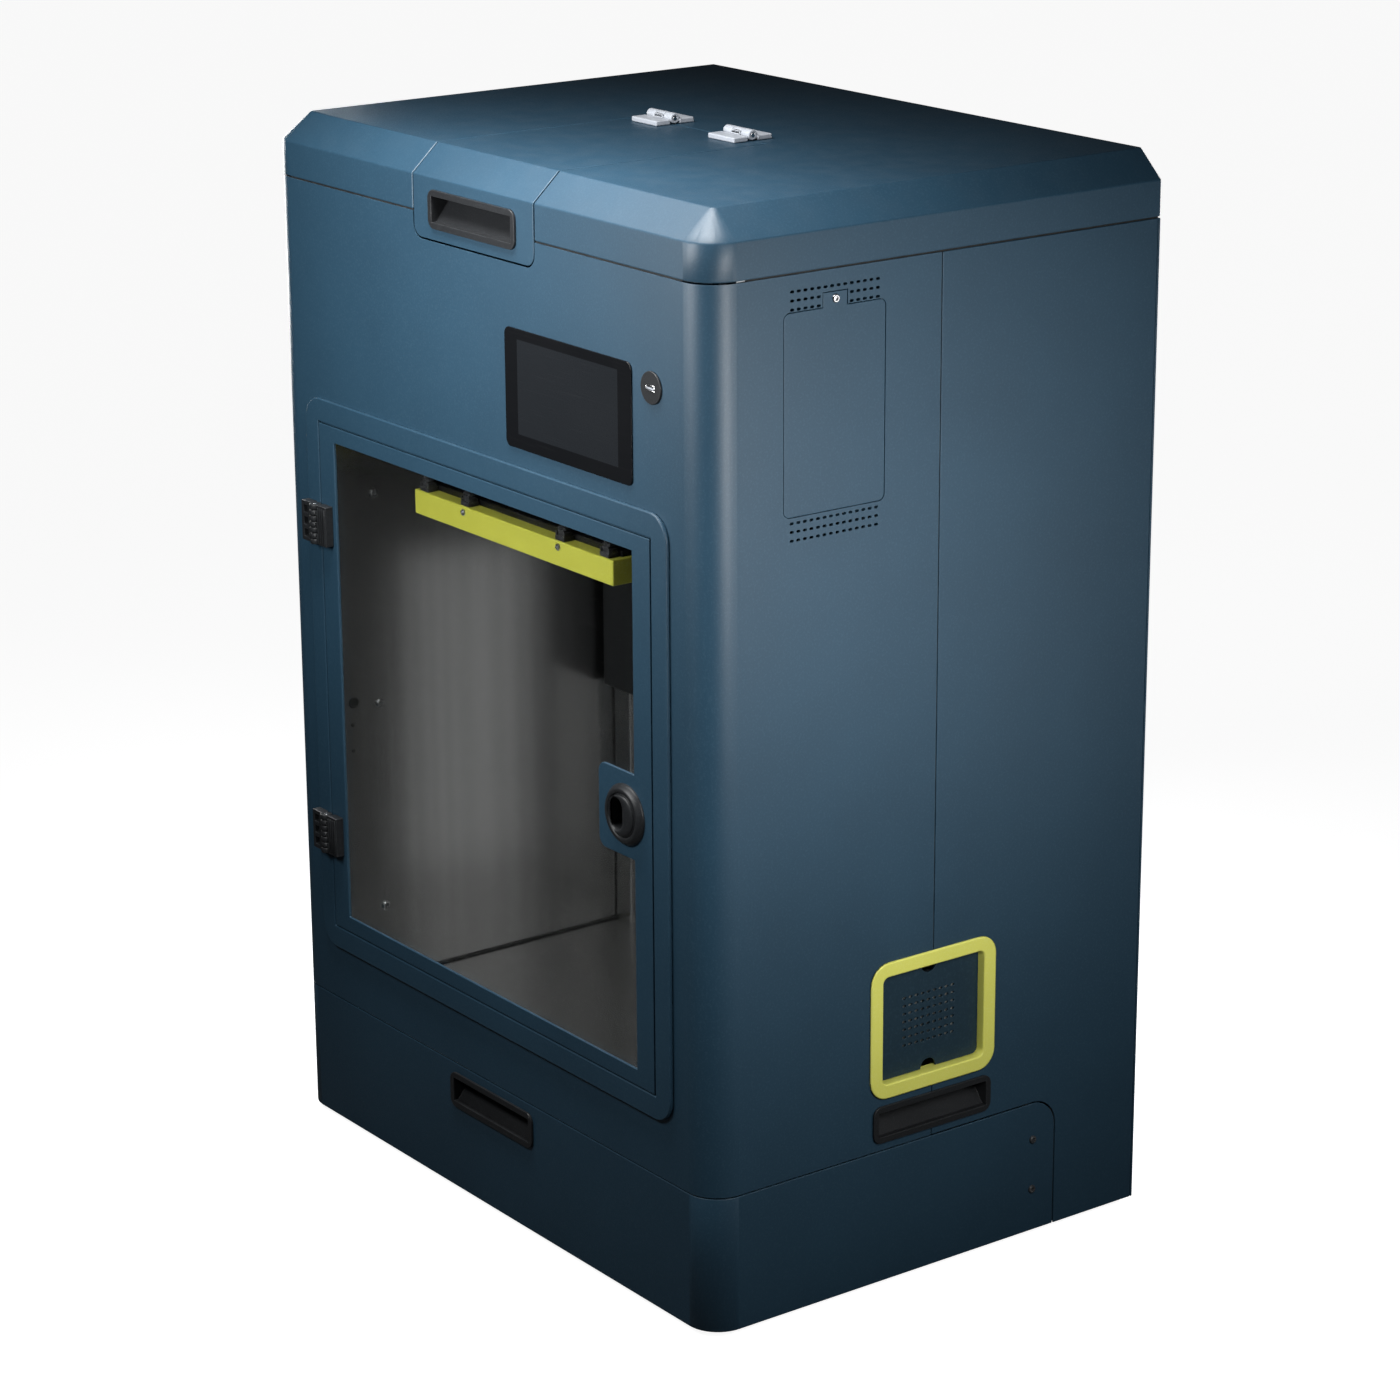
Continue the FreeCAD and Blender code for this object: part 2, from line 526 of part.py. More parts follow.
def make_drawer():
    inner_front, inner_radius = f"({FRONT} + sheet_wall)", "(front_radius - sheet_wall)"
    wing_end = f"({FRONT} + wing_length)"
    skirt = [(f"-{HALF}", wing_end, None), (f"-{HALF}", FRONT, "front_radius"), (HALF, FRONT, "front_radius"),
             (HALF, wing_end, None), (INNER, wing_end, None), (INNER, inner_front, inner_radius),
             (f"-{INNER}", inner_front, inner_radius), (f"-{INNER}", wing_end, None)]
    blank = panel("skirt_blank", "XY", ("foot_height", DRAWER_TOP), skirt)
    side_view = [(f"({FRONT} - sheet_wall)", "foot_height", None), (wing_end, "foot_height", None),
                 (wing_end, DRAWER_TOP, "wing_radius"), (f"({FRONT} - sheet_wall)", DRAWER_TOP, None)]
    trim = panel("skirt_side_view", "YZ", (f"-{HALF}", HALF), side_view)
    shaped = overlap("skirt_shaped", blank, trim)
    pull_z = "(foot_height + drawer_pull_rise)"
    drawer_skirt = cut("drawer_skirt", shaped, pull_hole("skirt_hole", 0, "0", FRONT, pull_z))
    drawer_pull = pull("drawer_pull", 0, "0", FRONT, pull_z)
    low, high = f"({PAN_TOP} + box_clear)", f"({PAN_TOP} + box_clear + box_height)"
    length = (inner_front, f"({FRONT} + box_length)")
    tray = cut("drawer_tray", block("tray_outer", (f"-{BOX_HALF}", BOX_HALF), length, (low, high)),
               block("tray_inner", (f"(-{BOX_HALF} + box_wall)", f"({BOX_HALF} - box_wall)"),
                     (f"({length[0]} - box_wall)", f"({length[1]} - box_wall)"),
                     (f"({low} + box_wall)", f"({high} + box_wall)")))
    slides, rails, screws = [], [], []
    run = (f"({FRONT} + rail_start)", f"({FRONT} + box_length)")
    rail_z = around("(foot_height + rail_rise)", "(rail_height / 2)")
    slide_z = around("(foot_height + rail_rise)", "(slide_height / 2)")
    groove_z = around("(foot_height + rail_rise)", "(slide_height / 2 + slide_gap)")
    glide_y = (f"({wing_end} - glide_inset - glide_length)", f"({wing_end} - glide_inset)")
    glide_z = around("(foot_height + wing_screw_low / 2 + wing_screw_high / 2)", "(glide_height / 2)")
    screw_y = f"({wing_end} - wing_screw_inset)"
    for sign in (1, -1):
        slide_end = f"({BOX_HALF} + slide_depth)"
        slides.append(block(f"slide{sign + 1}", on_side(sign, BOX_HALF, slide_end), run, slide_z))
        glide_x = on_side(sign, f"({PLINTH_OUT} + glide_gap)", INNER)
        slides.append(block(f"glide{sign + 1}", glide_x, glide_y, glide_z))
        rail_x = on_side(sign, f"({PLINTH_IN} - rail_depth)", PLINTH_IN)
        groove_x = on_side(sign, BOX_HALF, f"({slide_end} + slide_gap)")
        rails.append(cut(f"rail{sign + 1}", block(f"rail_bar{sign + 1}", rail_x, run, rail_z),
                         block(f"rail_groove{sign + 1}", groove_x, run, groove_z)))
        spots = [(mirrored(sign, HALF), screw_y, f"(foot_height + {level})")
                 for level in ("wing_screw_low", "wing_screw_high")]
        screws += screw_heads(f"wing_screws{sign + 1}", "X", sign, spots, "screw_radius", "screw_head").Links
    return [drawer_skirt, drawer_pull, tray, group("drawer_slides", *slides), group("drawer_rails", *rails),
            group("wing_screws", *screws)]


# Outer panels

def sleeve_limits():
    """Outside of the filter ring's sleeve, across and up the right-hand side."""
    return (around(MIDDLE, f"({RING_IN_HALF} + sleeve_wall)"),
            around(FILTER_Z, f"({RING_IN_TALL} + sleeve_wall)"))


def filter_hole(name):
    """Cutter for the sleeve of the filter ring, through the right-hand panels."""
    return block(name, (f"({HALF} - 2 * sheet_wall)", f"({HALF} + sheet_wall)"), *sleeve_limits())


def lift_holes(name):
    z = LIFT_Z
    return [pull_hole(f"{name}_{tag}", 90 * sign, mirrored(sign, HALF), MIDDLE, z)
            for tag, sign in (("right", 1), ("left", -1))]


def cover_outline(gap):
    """Outline of the service cover with its screw tab on top, grown by a gap."""
    y, z = around(COVER_Y, f"(cover_width / 2 + {gap})"), around(COVER_Z, f"(cover_height / 2 + {gap})")
    tab = around(COVER_Y, f"(cover_tab_width / 2 + {gap})")
    tab_top = f"({z[1]} + cover_tab_height)"
    corner = f"(cover_radius + {gap})"
    return [(y[0], z[0], corner), (y[1], z[0], corner), (y[1], z[1], corner), (tab[1], z[1], None),
            (tab[1], tab_top, None), (tab[0], tab_top, None), (tab[0], z[1], None), (y[0], z[1], corner)]


def vent_fields():
    """Cutters for the three rows of slots above and below the service cover."""
    columns, rows = int(number("vent_columns")), int(number("vent_rows"))
    beside_tab = {(row, column) for row in range(rows - 1) for column in (columns // 2 - 1, columns // 2)}
    fields = []
    for tag, drop, skip in (("upper", "vent_upper_drop", beside_tab), ("lower", "vent_lower_drop", ())):
        fields.append(slot_field(f"vents_{tag}", "YZ", (HALF, COVER_Y, f"({TOP} - {drop})"), columns, rows,
                                 "slot_pitch", "slot_row_pitch", "slot_width", "slot_height",
                                 "(3 * sheet_wall)", skip))
    return fields


def make_front_shell():
    seam = f"({MIDDLE} - seam_gap / 2)"
    inner_front, inner_radius = f"({FRONT} + sheet_wall)", "(front_radius - sheet_wall)"
    outline = [(f"-{HALF}", seam, None), (f"-{HALF}", FRONT, "front_radius"), (HALF, FRONT, "front_radius"),
               (HALF, seam, None), (INNER, seam, None), (INNER, inner_front, inner_radius),
               (f"-{INNER}", inner_front, inner_radius), (f"-{INNER}", seam, None)]
    wrap = panel("shell_wrap", "XY", (SHELL_LOW, SHELL_TOP), outline)
    through = (f"({FRONT} - sheet_wall)", f"({FRONT} + 2 * sheet_wall)")
    door_hole = block("shell_door_hole", around("0", f"({LEAF_HALF} - leaf_lap)"), through,
                      (f"({LEAF_LOW} + leaf_lap)", f"({LEAF_HIGH} - leaf_lap)"))
    tab_low = f"({TOP} - hatch_tab_drop - seam_gap)"
    notch_half = "(hatch_half + seam_gap)"
    above = f"({SHELL_TOP} + 2 * hatch_tab_radius)"
    notch_outline = [(f"-{notch_half}", tab_low, "(hatch_tab_radius + seam_gap)"),
                     (notch_half, tab_low, "(hatch_tab_radius + seam_gap)"),
                     (notch_half, above, None), (f"-{notch_half}", above, None)]
    notch = panel("shell_notch", "XZ", through, notch_outline)
    display_z = f"({TOP} - display_drop)"
    display_hole = block("shell_display_hole", around("display_x", "(display_width / 2 - display_border)"),
                         through, around(display_z, "(display_height / 2 - display_border)"))
    socket_hole = rod("shell_socket_hole", "Y", ("socket_x", through[0], f"({TOP} - socket_drop)"),
                      "socket_barrel", "(3 * sheet_wall)")
    ledge_x = (f"({INNER} - cover_ledge_wall)", INNER)
    ledge = panel("shell_cover_ledge", "YZ", ledge_x, cover_outline("cover_ledge"))
    blank = join("shell_blank", wrap, ledge)
    cover_cut = panel("shell_cover_hole", "YZ", (INNER, f"({HALF} + sheet_wall)"), cover_outline("cover_gap"))
    ledge_cut = block("shell_ledge_hole", (f"({INNER} - 2 * cover_ledge_wall)", INNER),
                      around(COVER_Y, "(cover_width / 2 - cover_ledge)"),
                      around(COVER_Z, "(cover_height / 2 - cover_ledge)"))
    tools = [door_hole, notch, display_hole, socket_hole, cover_cut, ledge_cut,
             filter_hole("shell_filter_hole"), *lift_holes("shell_lift"), *vent_fields()]
    return cut("front_shell", blank, *tools)


def side_panel(name, sign):
    start, end = f"({MIDDLE} + seam_gap / 2)", f"({REAR} - sheet_wall - panel_gap)"
    wing_end = f"({FRONT} + wing_length + seam_gap)"
    outline = [(start, SHELL_LOW, None), (wing_end, SHELL_LOW, "(wing_radius + seam_gap)"),
               (wing_end, "foot_height", None), (end, "foot_height", None), (end, SHELL_TOP, None),
               (start, SHELL_TOP, None)]
    blank = panel(f"{name}_blank", "YZ", on_side(sign, INNER, HALF), outline)
    tools = lift_holes(f"{name}_lift")[0 if sign > 0 else 1:][:1]
    if sign > 0:
        tools.append(filter_hole(f"{name}_filter_hole"))
    return cut(name, blank, *tools)


def make_back_panel():
    blank = block("back_blank", around("0", HALF), (f"({REAR} - sheet_wall)", REAR),
                  ("foot_height", SHELL_TOP))
    vents = slot_field("back_vents", "XZ", ("0", REAR, f"({TOP} - back_vent_drop)"),
                       int(number("back_vent_columns")), int(number("back_vent_rows")), "back_vent_pitch",
                       "back_vent_row_pitch", "back_vent_width", "back_vent_height", "(3 * sheet_wall)")
    hole = block("back_inlet_hole", around("inlet_x", "(inlet_width / 2 - inlet_border)"),
                 (f"({REAR} - 2 * sheet_wall)", f"({REAR} + sheet_wall)"),
                 around(INLET_Z, "(inlet_height / 2 - inlet_border)"))
    return cut("back_panel", blank, vents, hole)


def lid_solid(name, inset, low):
    """The lid's outside, or its hollow when inset: an upright rim and a slope to the flat top."""
    slope_low = f"({inset} * tan(atan(chamfer_inset / chamfer_drop) / 2))"
    slope_high = f"({inset} * tan(atan(chamfer_drop / chamfer_inset) / 2))"
    rim_z = f"({TOP} - chamfer_drop - {slope_low})"
    rim = cabinet_outline(f"({HALF} - {inset})", f"({FRONT} + {inset})", f"({REAR} - {inset})",
                          f"(front_radius - {inset})")
    run_in = f"chamfer_inset + {slope_high}"
    crown = cabinet_outline(f"({HALF} - ({run_in}))", f"({FRONT} + {run_in})", f"({REAR} - {inset})",
                            f"(front_radius - ({run_in}))")
    upright = panel(f"{name}_rim", "XY", (low, rim_z), rim)
    slope = taper(f"{name}_slope", (rim, rim_z), (crown, f"({TOP} - {inset})"))
    return join(name, upright, slope)


def make_lid_and_hatch():
    outside = lid_solid("lid_outside", "0", LID_EDGE)
    hollow = lid_solid("lid_hollow", "sheet_wall", f"({LID_EDGE} - sheet_wall)")
    skin = cut("lid_skin", outside, hollow)
    hatch_y = f"({FRONT} - sheet_wall)"
    upto = f"({TOP} + sheet_wall)"
    opening = block("lid_opening", around("0", "(hatch_half + seam_gap)"),
                    (hatch_y, f"({MIDDLE} + seam_gap / 2)"), (f"({LID_EDGE} - sheet_wall)", upto))
    ledges = []
    ledge_top = f"({TOP} - sheet_wall)"
    ledge_y = (f"({FRONT} + chamfer_inset + ledge_width)", MIDDLE)
    ledge_low = f"({ledge_top} - hinge_gap - ledge_wall)"
    for sign in (1, -1):
        edge, far = "(hatch_half + seam_gap)", "(hatch_half + seam_gap + ledge_width)"
        under = block(f"ledge_low{sign + 1}", on_side(sign, "(hatch_half - ledge_width)", far), ledge_y,
                      (ledge_low, f"({ledge_top} - hinge_gap)"))
        neck = block(f"ledge_neck{sign + 1}", on_side(sign, edge, far), ledge_y, (ledge_low, ledge_top))
        ledges += [under, neck]
    lid = join("lid", cut("lid_open", skin, opening), *ledges)
    region = block("hatch_region", around("0", "hatch_half"), (hatch_y, f"({MIDDLE} - seam_gap / 2)"),
                   (LID_EDGE, upto))
    roof = overlap("hatch_roof", skin, region)
    tab_low = f"({TOP} - hatch_tab_drop)"
    tab_outline = [("-hatch_half", tab_low, "hatch_tab_radius"), ("hatch_half", tab_low, "hatch_tab_radius"),
                   ("hatch_half", LID_EDGE, None), ("-hatch_half", LID_EDGE, None)]
    tab = panel("hatch_tab", "XZ", (FRONT, f"({FRONT} + sheet_wall)"), tab_outline)
    pull_z = f"({TOP} - hatch_pull_drop)"
    hatch = cut("hatch_panel", join("hatch_blank", roof, tab),
                pull_hole("hatch_hole", 0, "0", FRONT, pull_z))
    return [lid, hatch, pull("hatch_pull", 0, "0", FRONT, pull_z)]


def make_hatch_hinges():
    """Two cast hinges on the lid: the hatch carries the middle knuckle and the lid the outer two."""
    third = "(hatch_hinge_width / 3)"
    hatch_leaves, lid_leaves, pins = [], [], []
    for sign in (1, -1):
        centre = mirrored(sign, "hatch_hinge_x")
        low = f"({centre} - hatch_hinge_width / 2)"
        x_all = around(centre, "(hatch_hinge_width / 2)")
        pin_start = (x_all[0], MIDDLE, HATCH_PIN_Z)
        pins.append(rod(f"hatch_pin{sign + 1}", "X", pin_start, "hatch_pin_radius", "hatch_hinge_width"))
        near, far = "(hatch_knuckle + hinge_gap)", "hatch_hinge_reach"
        leaf_z = (TOP, f"({TOP} + hatch_leaf_wall)")
        web_z = (f"({HATCH_PIN_Z} - hatch_knuckle / 2)", f"({HATCH_PIN_Z} + hatch_pin_radius)")
        for tag, way, thirds in (("hatch", -1, (1,)), ("lid", 1, (0, 2))):
            solids = [block(f"{tag}_leaf{sign + 1}", x_all, beside(MIDDLE, way, near, far), leaf_z)]
            for index in thirds:
                start = f"({low} + {index} * {third} + hinge_gap / 2)"
                length = f"({third} - hinge_gap)"
                solids.append(rod(f"{tag}_knuckle{sign + 1}{index}", "X", (start, MIDDLE, HATCH_PIN_Z),
                                  "hatch_knuckle", length))
                solids.append(block(f"{tag}_web{sign + 1}{index}", (start, f"({start} + {length})"),
                                    beside(MIDDLE, way, "0", near), web_z))
            bore = rod(f"{tag}_bore{sign + 1}", "X", pin_start, "(hatch_pin_radius + pin_clear)",
                       "hatch_hinge_width")
            leaf = cut(f"{tag}_hinge{sign + 1}", join(f"{tag}_hinge_blank{sign + 1}", *solids), bore)
            (hatch_leaves if tag == "hatch" else lid_leaves).append(leaf)
    return group("hatch_hinge_leaves", *hatch_leaves), group("lid_hinge_leaves", *lid_leaves), pins


# Door

def leaf_outline(inset):
    """Outline of the door leaf, drawn in by an inset."""
    return rectangle(around("0", f"({LEAF_HALF} - ({inset}))"),
                     (f"({LEAF_LOW} + ({inset}))", f"({LEAF_HIGH} - ({inset}))"))


def make_door():
    frame = rectangle(around("0", SURROUND_HALF), (SURROUND_LOW, SURROUND_HIGH), "surround_radius")
    surround = panel("door_surround", "XZ", (SURROUND_FACE, FRONT), frame, leaf_outline("-seam_gap"))
    seal = panel("door_seal", "XZ", (f"({FRONT} - seal_wall)", FRONT), leaf_outline("seal_inset"),
                 leaf_outline("(seal_inset + seal_band)"))
    side = f"({LEAF_HALF} - window_side)"
    low, high = f"({LEAF_LOW} + window_end)", f"({LEAF_HIGH} - window_end)"
    tab_x = f"({LEAF_HALF} - latch_tab_reach)"
    tab_low, tab_high = around(LATCH_Z, "latch_tab_half")
    window = [(f"-{side}", low, None), (side, low, None), (side, tab_low, None),
              (tab_x, tab_low, "latch_tab_radius"), (tab_x, tab_high, "latch_tab_radius"),
              (side, tab_high, None), (side, high, None), (f"-{side}", high, None)]
    latch_hole = (LATCH_X, LATCH_Z, "latch_bore")
    leaf = panel("door_leaf", "XZ", (SURROUND_FACE, LEAF_BACK), leaf_outline("0"), window,
                 circles=[latch_hole])
    glass = panel("door_glass", "XZ", (LEAF_BACK, GLASS_BACK), leaf_outline("(leaf_lap + glass_clear)"),
                  circles=[latch_hole])
    return [surround, seal, leaf, glass]


def make_latch():
    """Round turn latch: a fixed bezel, and a knob with a finger cup and a cam behind the glass."""
    face = f"({SURROUND_FACE} - latch_proud)"
    middle = (LATCH_X, face, LATCH_Z)
    bezel = cut("latch_bezel", rod("bezel_disc", "Y", middle, "latch_radius", "latch_proud"),
                rod("bezel_bore", "Y", middle, "latch_bore", "latch_proud"))
    knob_front = f"({SURROUND_FACE} - knob_proud)"
    cam_y = (f"({GLASS_BACK} + cam_clear)", f"({GLASS_BACK} + cam_clear + cam_wall)")
    barrel = rod("knob_barrel", "Y", (LATCH_X, knob_front, LATCH_Z), "(latch_bore - knob_gap)",
                 f"({cam_y[1]} - {knob_front})")
    cam = block("knob_cam", around(LATCH_X, "cam_half"), cam_y, (f"({LATCH_Z} - cam_length)", LATCH_Z))
    oval = around(LATCH_Z, "(finger_half_height - finger_half_width)")
    finger_x = f"({LATCH_X} - finger_offset)"
    pocket_y = f"({knob_front} - finger_depth)"
    ends = [rod(f"finger_end{index}", "Y", (finger_x, pocket_y, z), "finger_half_width", "(2 * finger_depth)")
            for index, z in enumerate(oval)]
    span = block("finger_span", around(finger_x, "finger_half_width"),
                 (pocket_y, f"({pocket_y} + 2 * finger_depth)"), oval)
    knob = cut("latch_knob", join("knob_blank", barrel, cam), join("finger_oval", span, *ends))
    return [bezel, knob]


def make_door_hinges():
    """Two moulded hinges: four knuckles on the surround and three on the leaf, round one pin."""
    fixed, moving, pins = [], [], []
    knuckle_count = 7
    segment = f"((hinge_height + hinge_gap) / {knuckle_count})"
    base = (f"({SURROUND_FACE} - hinge_block_wall)", SURROUND_FACE)
    near, far = "(hinge_knuckle + hinge_gap)", "(hinge_width / 2)"
    centres = (("upper", f"({TOP} - hinge_upper_drop)"), ("lower", "(foot_height + hinge_lower_rise)"))
    for tag, centre in centres:
        z = around(centre, "(hinge_height / 2)")
        pin_start = (PIN_X, PIN_Y, z[0])
        pins.append(rod(f"door_pin_{tag}", "Z", pin_start, "hinge_pin_radius", "hinge_height"))
        for side, way in (("fixed", -1), ("moving", 1)):
            web_x = beside(PIN_X, way, "0", near)
            solids = [block(f"{side}_{tag}_block", beside(PIN_X, way, near, far), base, z)]
            for index in range(0 if way < 0 else 1, knuckle_count, 2):
                start = f"({z[0]} + {index} * {segment})"
                length = f"({segment} - hinge_gap)"
                solids.append(rod(f"{side}_{tag}_knuckle{index}", "Z", (PIN_X, PIN_Y, start),
                                  "hinge_knuckle", length))
                solids.append(block(f"{side}_{tag}_web{index}", web_x, around(PIN_Y, "(hinge_knuckle / 2)"),
                                    (start, f"({start} + {length})")))
            bore = rod(f"{side}_{tag}_bore", "Z", pin_start, "(hinge_pin_radius + pin_clear)", "hinge_height")
            tools = [bore] if way > 0 else [bore, *hinge_windows(tag, centre, near, far, base[0])]
            half = cut(f"{side}_{tag}", join(f"{side}_{tag}_blank", *solids), *tools)
            (fixed if way < 0 else moving).append(half)
    return group("door_hinge_bases", *fixed), group("door_hinge_arms", *moving), pins


def hinge_windows(tag, centre, near, far, face):
    """Cutters for the three square windows in the face of a fixed hinge block."""
    x = around(f"({PIN_X} - ({near} + {far}) / 2)", "(hinge_window / 2)")
    y = (f"({face} - hinge_window_depth)", f"({face} + hinge_window_depth)")
    return [block(f"window_{tag}{step + 1}", x, y,
                  around(f"({centre} + ({step}) * hinge_window_pitch)", "(hinge_window / 2)"))
            for step in (-1, 0, 1)]


# Front and side fittings

def make_display():
    z = f"({TOP} - display_drop)"
    outline = rectangle(around("display_x", "(display_width / 2)"), around(z, "(display_height / 2)"),
                        "display_radius")
    glass = panel("display_glass", "XZ", (f"({FRONT} - display_proud)", FRONT), outline)
    module = block("display_module", around("display_x", "(display_width / 2 - display_border)"),
                   (FRONT, f"({FRONT} + display_depth)"), around(z, "(display_height / 2 - display_border)"))
    return join("touch_display", glass, module)


def make_data_socket():
    z = f"({TOP} - socket_drop)"
    face = f"({FRONT} - socket_proud)"
    rim = rod("socket_rim", "Y", ("socket_x", face, z), "socket_radius", "socket_proud")
    barrel = rod("socket_barrel_body", "Y", ("socket_x", FRONT, z), "socket_barrel", "socket_depth")
    mouth_y = (f"({face} - socket_proud)", f"({FRONT} + socket_depth - 2 * tongue_wall)")
    mouth = block("socket_mouth", around("socket_x", "(socket_slot_width / 2)"), mouth_y,
                  around(z, "(socket_slot_height / 2)"))
    tongue = block("socket_tongue", around("socket_x", "(socket_slot_width / 2 - tongue_wall / 2)"),
                   (FRONT, mouth_y[1]), (z, f"({z} + tongue_wall)"))
    return join("data_socket", cut("socket_open", join("socket_blank", rim, barrel), mouth), tongue)


def make_service_cover():
    cover = panel("service_cover", "YZ", (INNER, HALF), cover_outline("0"))
    spot = (HALF, COVER_Y, f"({COVER_Z} + cover_height / 2 + cover_screw_rise)")
    return cover, screw_heads("cover_screw", "X", 1, [spot], "screw_radius", "screw_head").Links


def make_filter():
    """Lime ring with a deep sleeve, the pierced pull-out plate with its cartridge, and the fan behind."""
    outline = rectangle(around(MIDDLE, "(ring_width / 2)"), around(FILTER_Z, "(ring_height / 2)"),
                        "ring_radius")
    ring_plate = panel("ring_plate", "YZ", (HALF, f"({HALF} + pull_proud)"), outline)
    sleeve_end = f"({HALF} - sleeve_depth)"
    sleeve = block("ring_sleeve", (sleeve_end, HALF), *sleeve_limits())
    ring_bore = panel("ring_bore", "YZ", (f"({sleeve_end} - sleeve_wall)", f"({HALF} + 2 * pull_proud)"),
                      rectangle(around(MIDDLE, RING_IN_HALF), around(FILTER_Z, RING_IN_TALL),
                                "ring_bore_radius"))
    ring = cut("filter_ring", join("ring_blank", ring_plate, sleeve), ring_bore)
    plate_half, plate_tall = f"({RING_IN_HALF} - filter_clear)", f"({RING_IN_TALL} - filter_clear)"
    plate_x = (f"({HALF} - filter_recess - filter_wall)", f"({HALF} - filter_recess)")
    plate = panel("filter_blank", "YZ", plate_x,
                  rectangle(around(MIDDLE, plate_half), around(FILTER_Z, plate_tall), "ring_bore_radius"))
    notches = [rod(f"notch_{tag}", "X", (plate_x[0], MIDDLE, z), "notch_radius", "filter_wall")
               for tag, z in zip(("low", "high"), around(FILTER_Z, plate_tall))]
    slots = slot_field("filter_slots", "YZ", (plate_x[0], MIDDLE, FILTER_Z),
                       int(number("filter_columns")), int(number("filter_rows")), "slot_pitch",
                       "slot_row_pitch", "slot_width", "slot_height", "(3 * filter_wall)")
    cover = cut("filter_plate", plate, *notches, slots)
    cartridge_x = (f"({plate_x[0]} - cartridge_depth)", plate_x[0])
    body_half, body_tall = f"({plate_half} - filter_clear)", f"({plate_tall} - notch_radius - filter_clear)"
    cartridge = block("filter_cartridge", cartridge_x, around(MIDDLE, body_half), around(FILTER_Z, body_tall))
    house_x = (f"({CHAMBER_HALF} + steel_wall)", sleeve_end)
    shell = cut("housing_shell", block("housing_outer", house_x, *sleeve_limits()),
                block("housing_inner", (f"({house_x[0]} + housing_wall)", f"({house_x[1]} + housing_wall)"),
                      *[(f"({low} + housing_wall)", f"({high} - housing_wall)")
                        for low, high in sleeve_limits()]))
    fan_start = f"({house_x[0]} + housing_wall)"
    fan_end = f"({fan_start} + fan_depth)"
    frame = block("fan_frame", (fan_start, fan_end), around(MIDDLE, "(fan_size / 2)"),
                  around(FILTER_Z, "(fan_size / 2)"))
    air_way = rod("fan_air_way", "X", (f"({house_x[0]} - housing_wall)", MIDDLE, FILTER_Z), "fan_bore",
                  "(3 * housing_wall + fan_depth)")
    strut = block("fan_strut", (house_x[0], fan_start), around(MIDDLE, "fan_bore"),
                  around(FILTER_Z, "(housing_wall * 2)"))
    boss = rod("fan_boss", "X", (house_x[0], MIDDLE, FILTER_Z), "fan_boss_radius", "housing_wall")
    pierced = cut("housing_pierced", join("housing_blank", shell, frame), air_way)
    housing = join("filter_housing", pierced, strut, boss)
    return [ring, cover, cartridge, housing, make_fan_rotor(fan_start, fan_end)]


def make_fan_rotor(fan_start, fan_end):
    """Hub with pitched blades that reach from inside the hub towards the frame's bore."""
    start = f"({fan_start} + fan_hub_gap)"
    length = f"({fan_end} - {fan_start} - 2 * fan_hub_gap)"
    hub = rod("rotor_hub", "X", (start, MIDDLE, FILTER_Z), "fan_hub_radius", length)
    count = int(number("fan_blades"))
    reach, wall = number("fan_blade_radius"), number("fan_blade_wall")
    chord = number(f"({length} - 2 * fan_blade_wall)")
    blades = []
    for index in range(count):
        blade = Part.makeBox(chord, wall, reach, FreeCAD.Vector(-chord / 2, -wall / 2, 0))
        blade.rotate(FreeCAD.Vector(), FreeCAD.Vector(0, 0, 1), number("fan_blade_pitch"))
        blade.rotate(FreeCAD.Vector(), FreeCAD.Vector(1, 0, 0), 360 * index / count)
        blades.append(blade)
    swept = Part.makeCylinder(reach, 2 * chord, FreeCAD.Vector(-chord, 0, 0), FreeCAD.Vector(1, 0, 0))
    item = doc.addObject("Part::Feature", "rotor_blades")
    item.Shape = blades[0].multiFuse(blades[1:]).common(swept)
    middle = FreeCAD.Vector(number(f"({start} + {length} / 2)"), number(MIDDLE), number(FILTER_Z))
    item.Placement = FreeCAD.Placement(middle, FreeCAD.Rotation())
    return join("fan_rotor", hub, item)


def make_lift_pulls():
    z = LIFT_Z
    pulls = [pull(f"lift_pull_{tag}", 90 * sign, mirrored(sign, HALF), MIDDLE, z)
             for tag, sign in (("right", 1), ("left", -1))]
    return group("lift_pulls", *pulls)


# Chamber

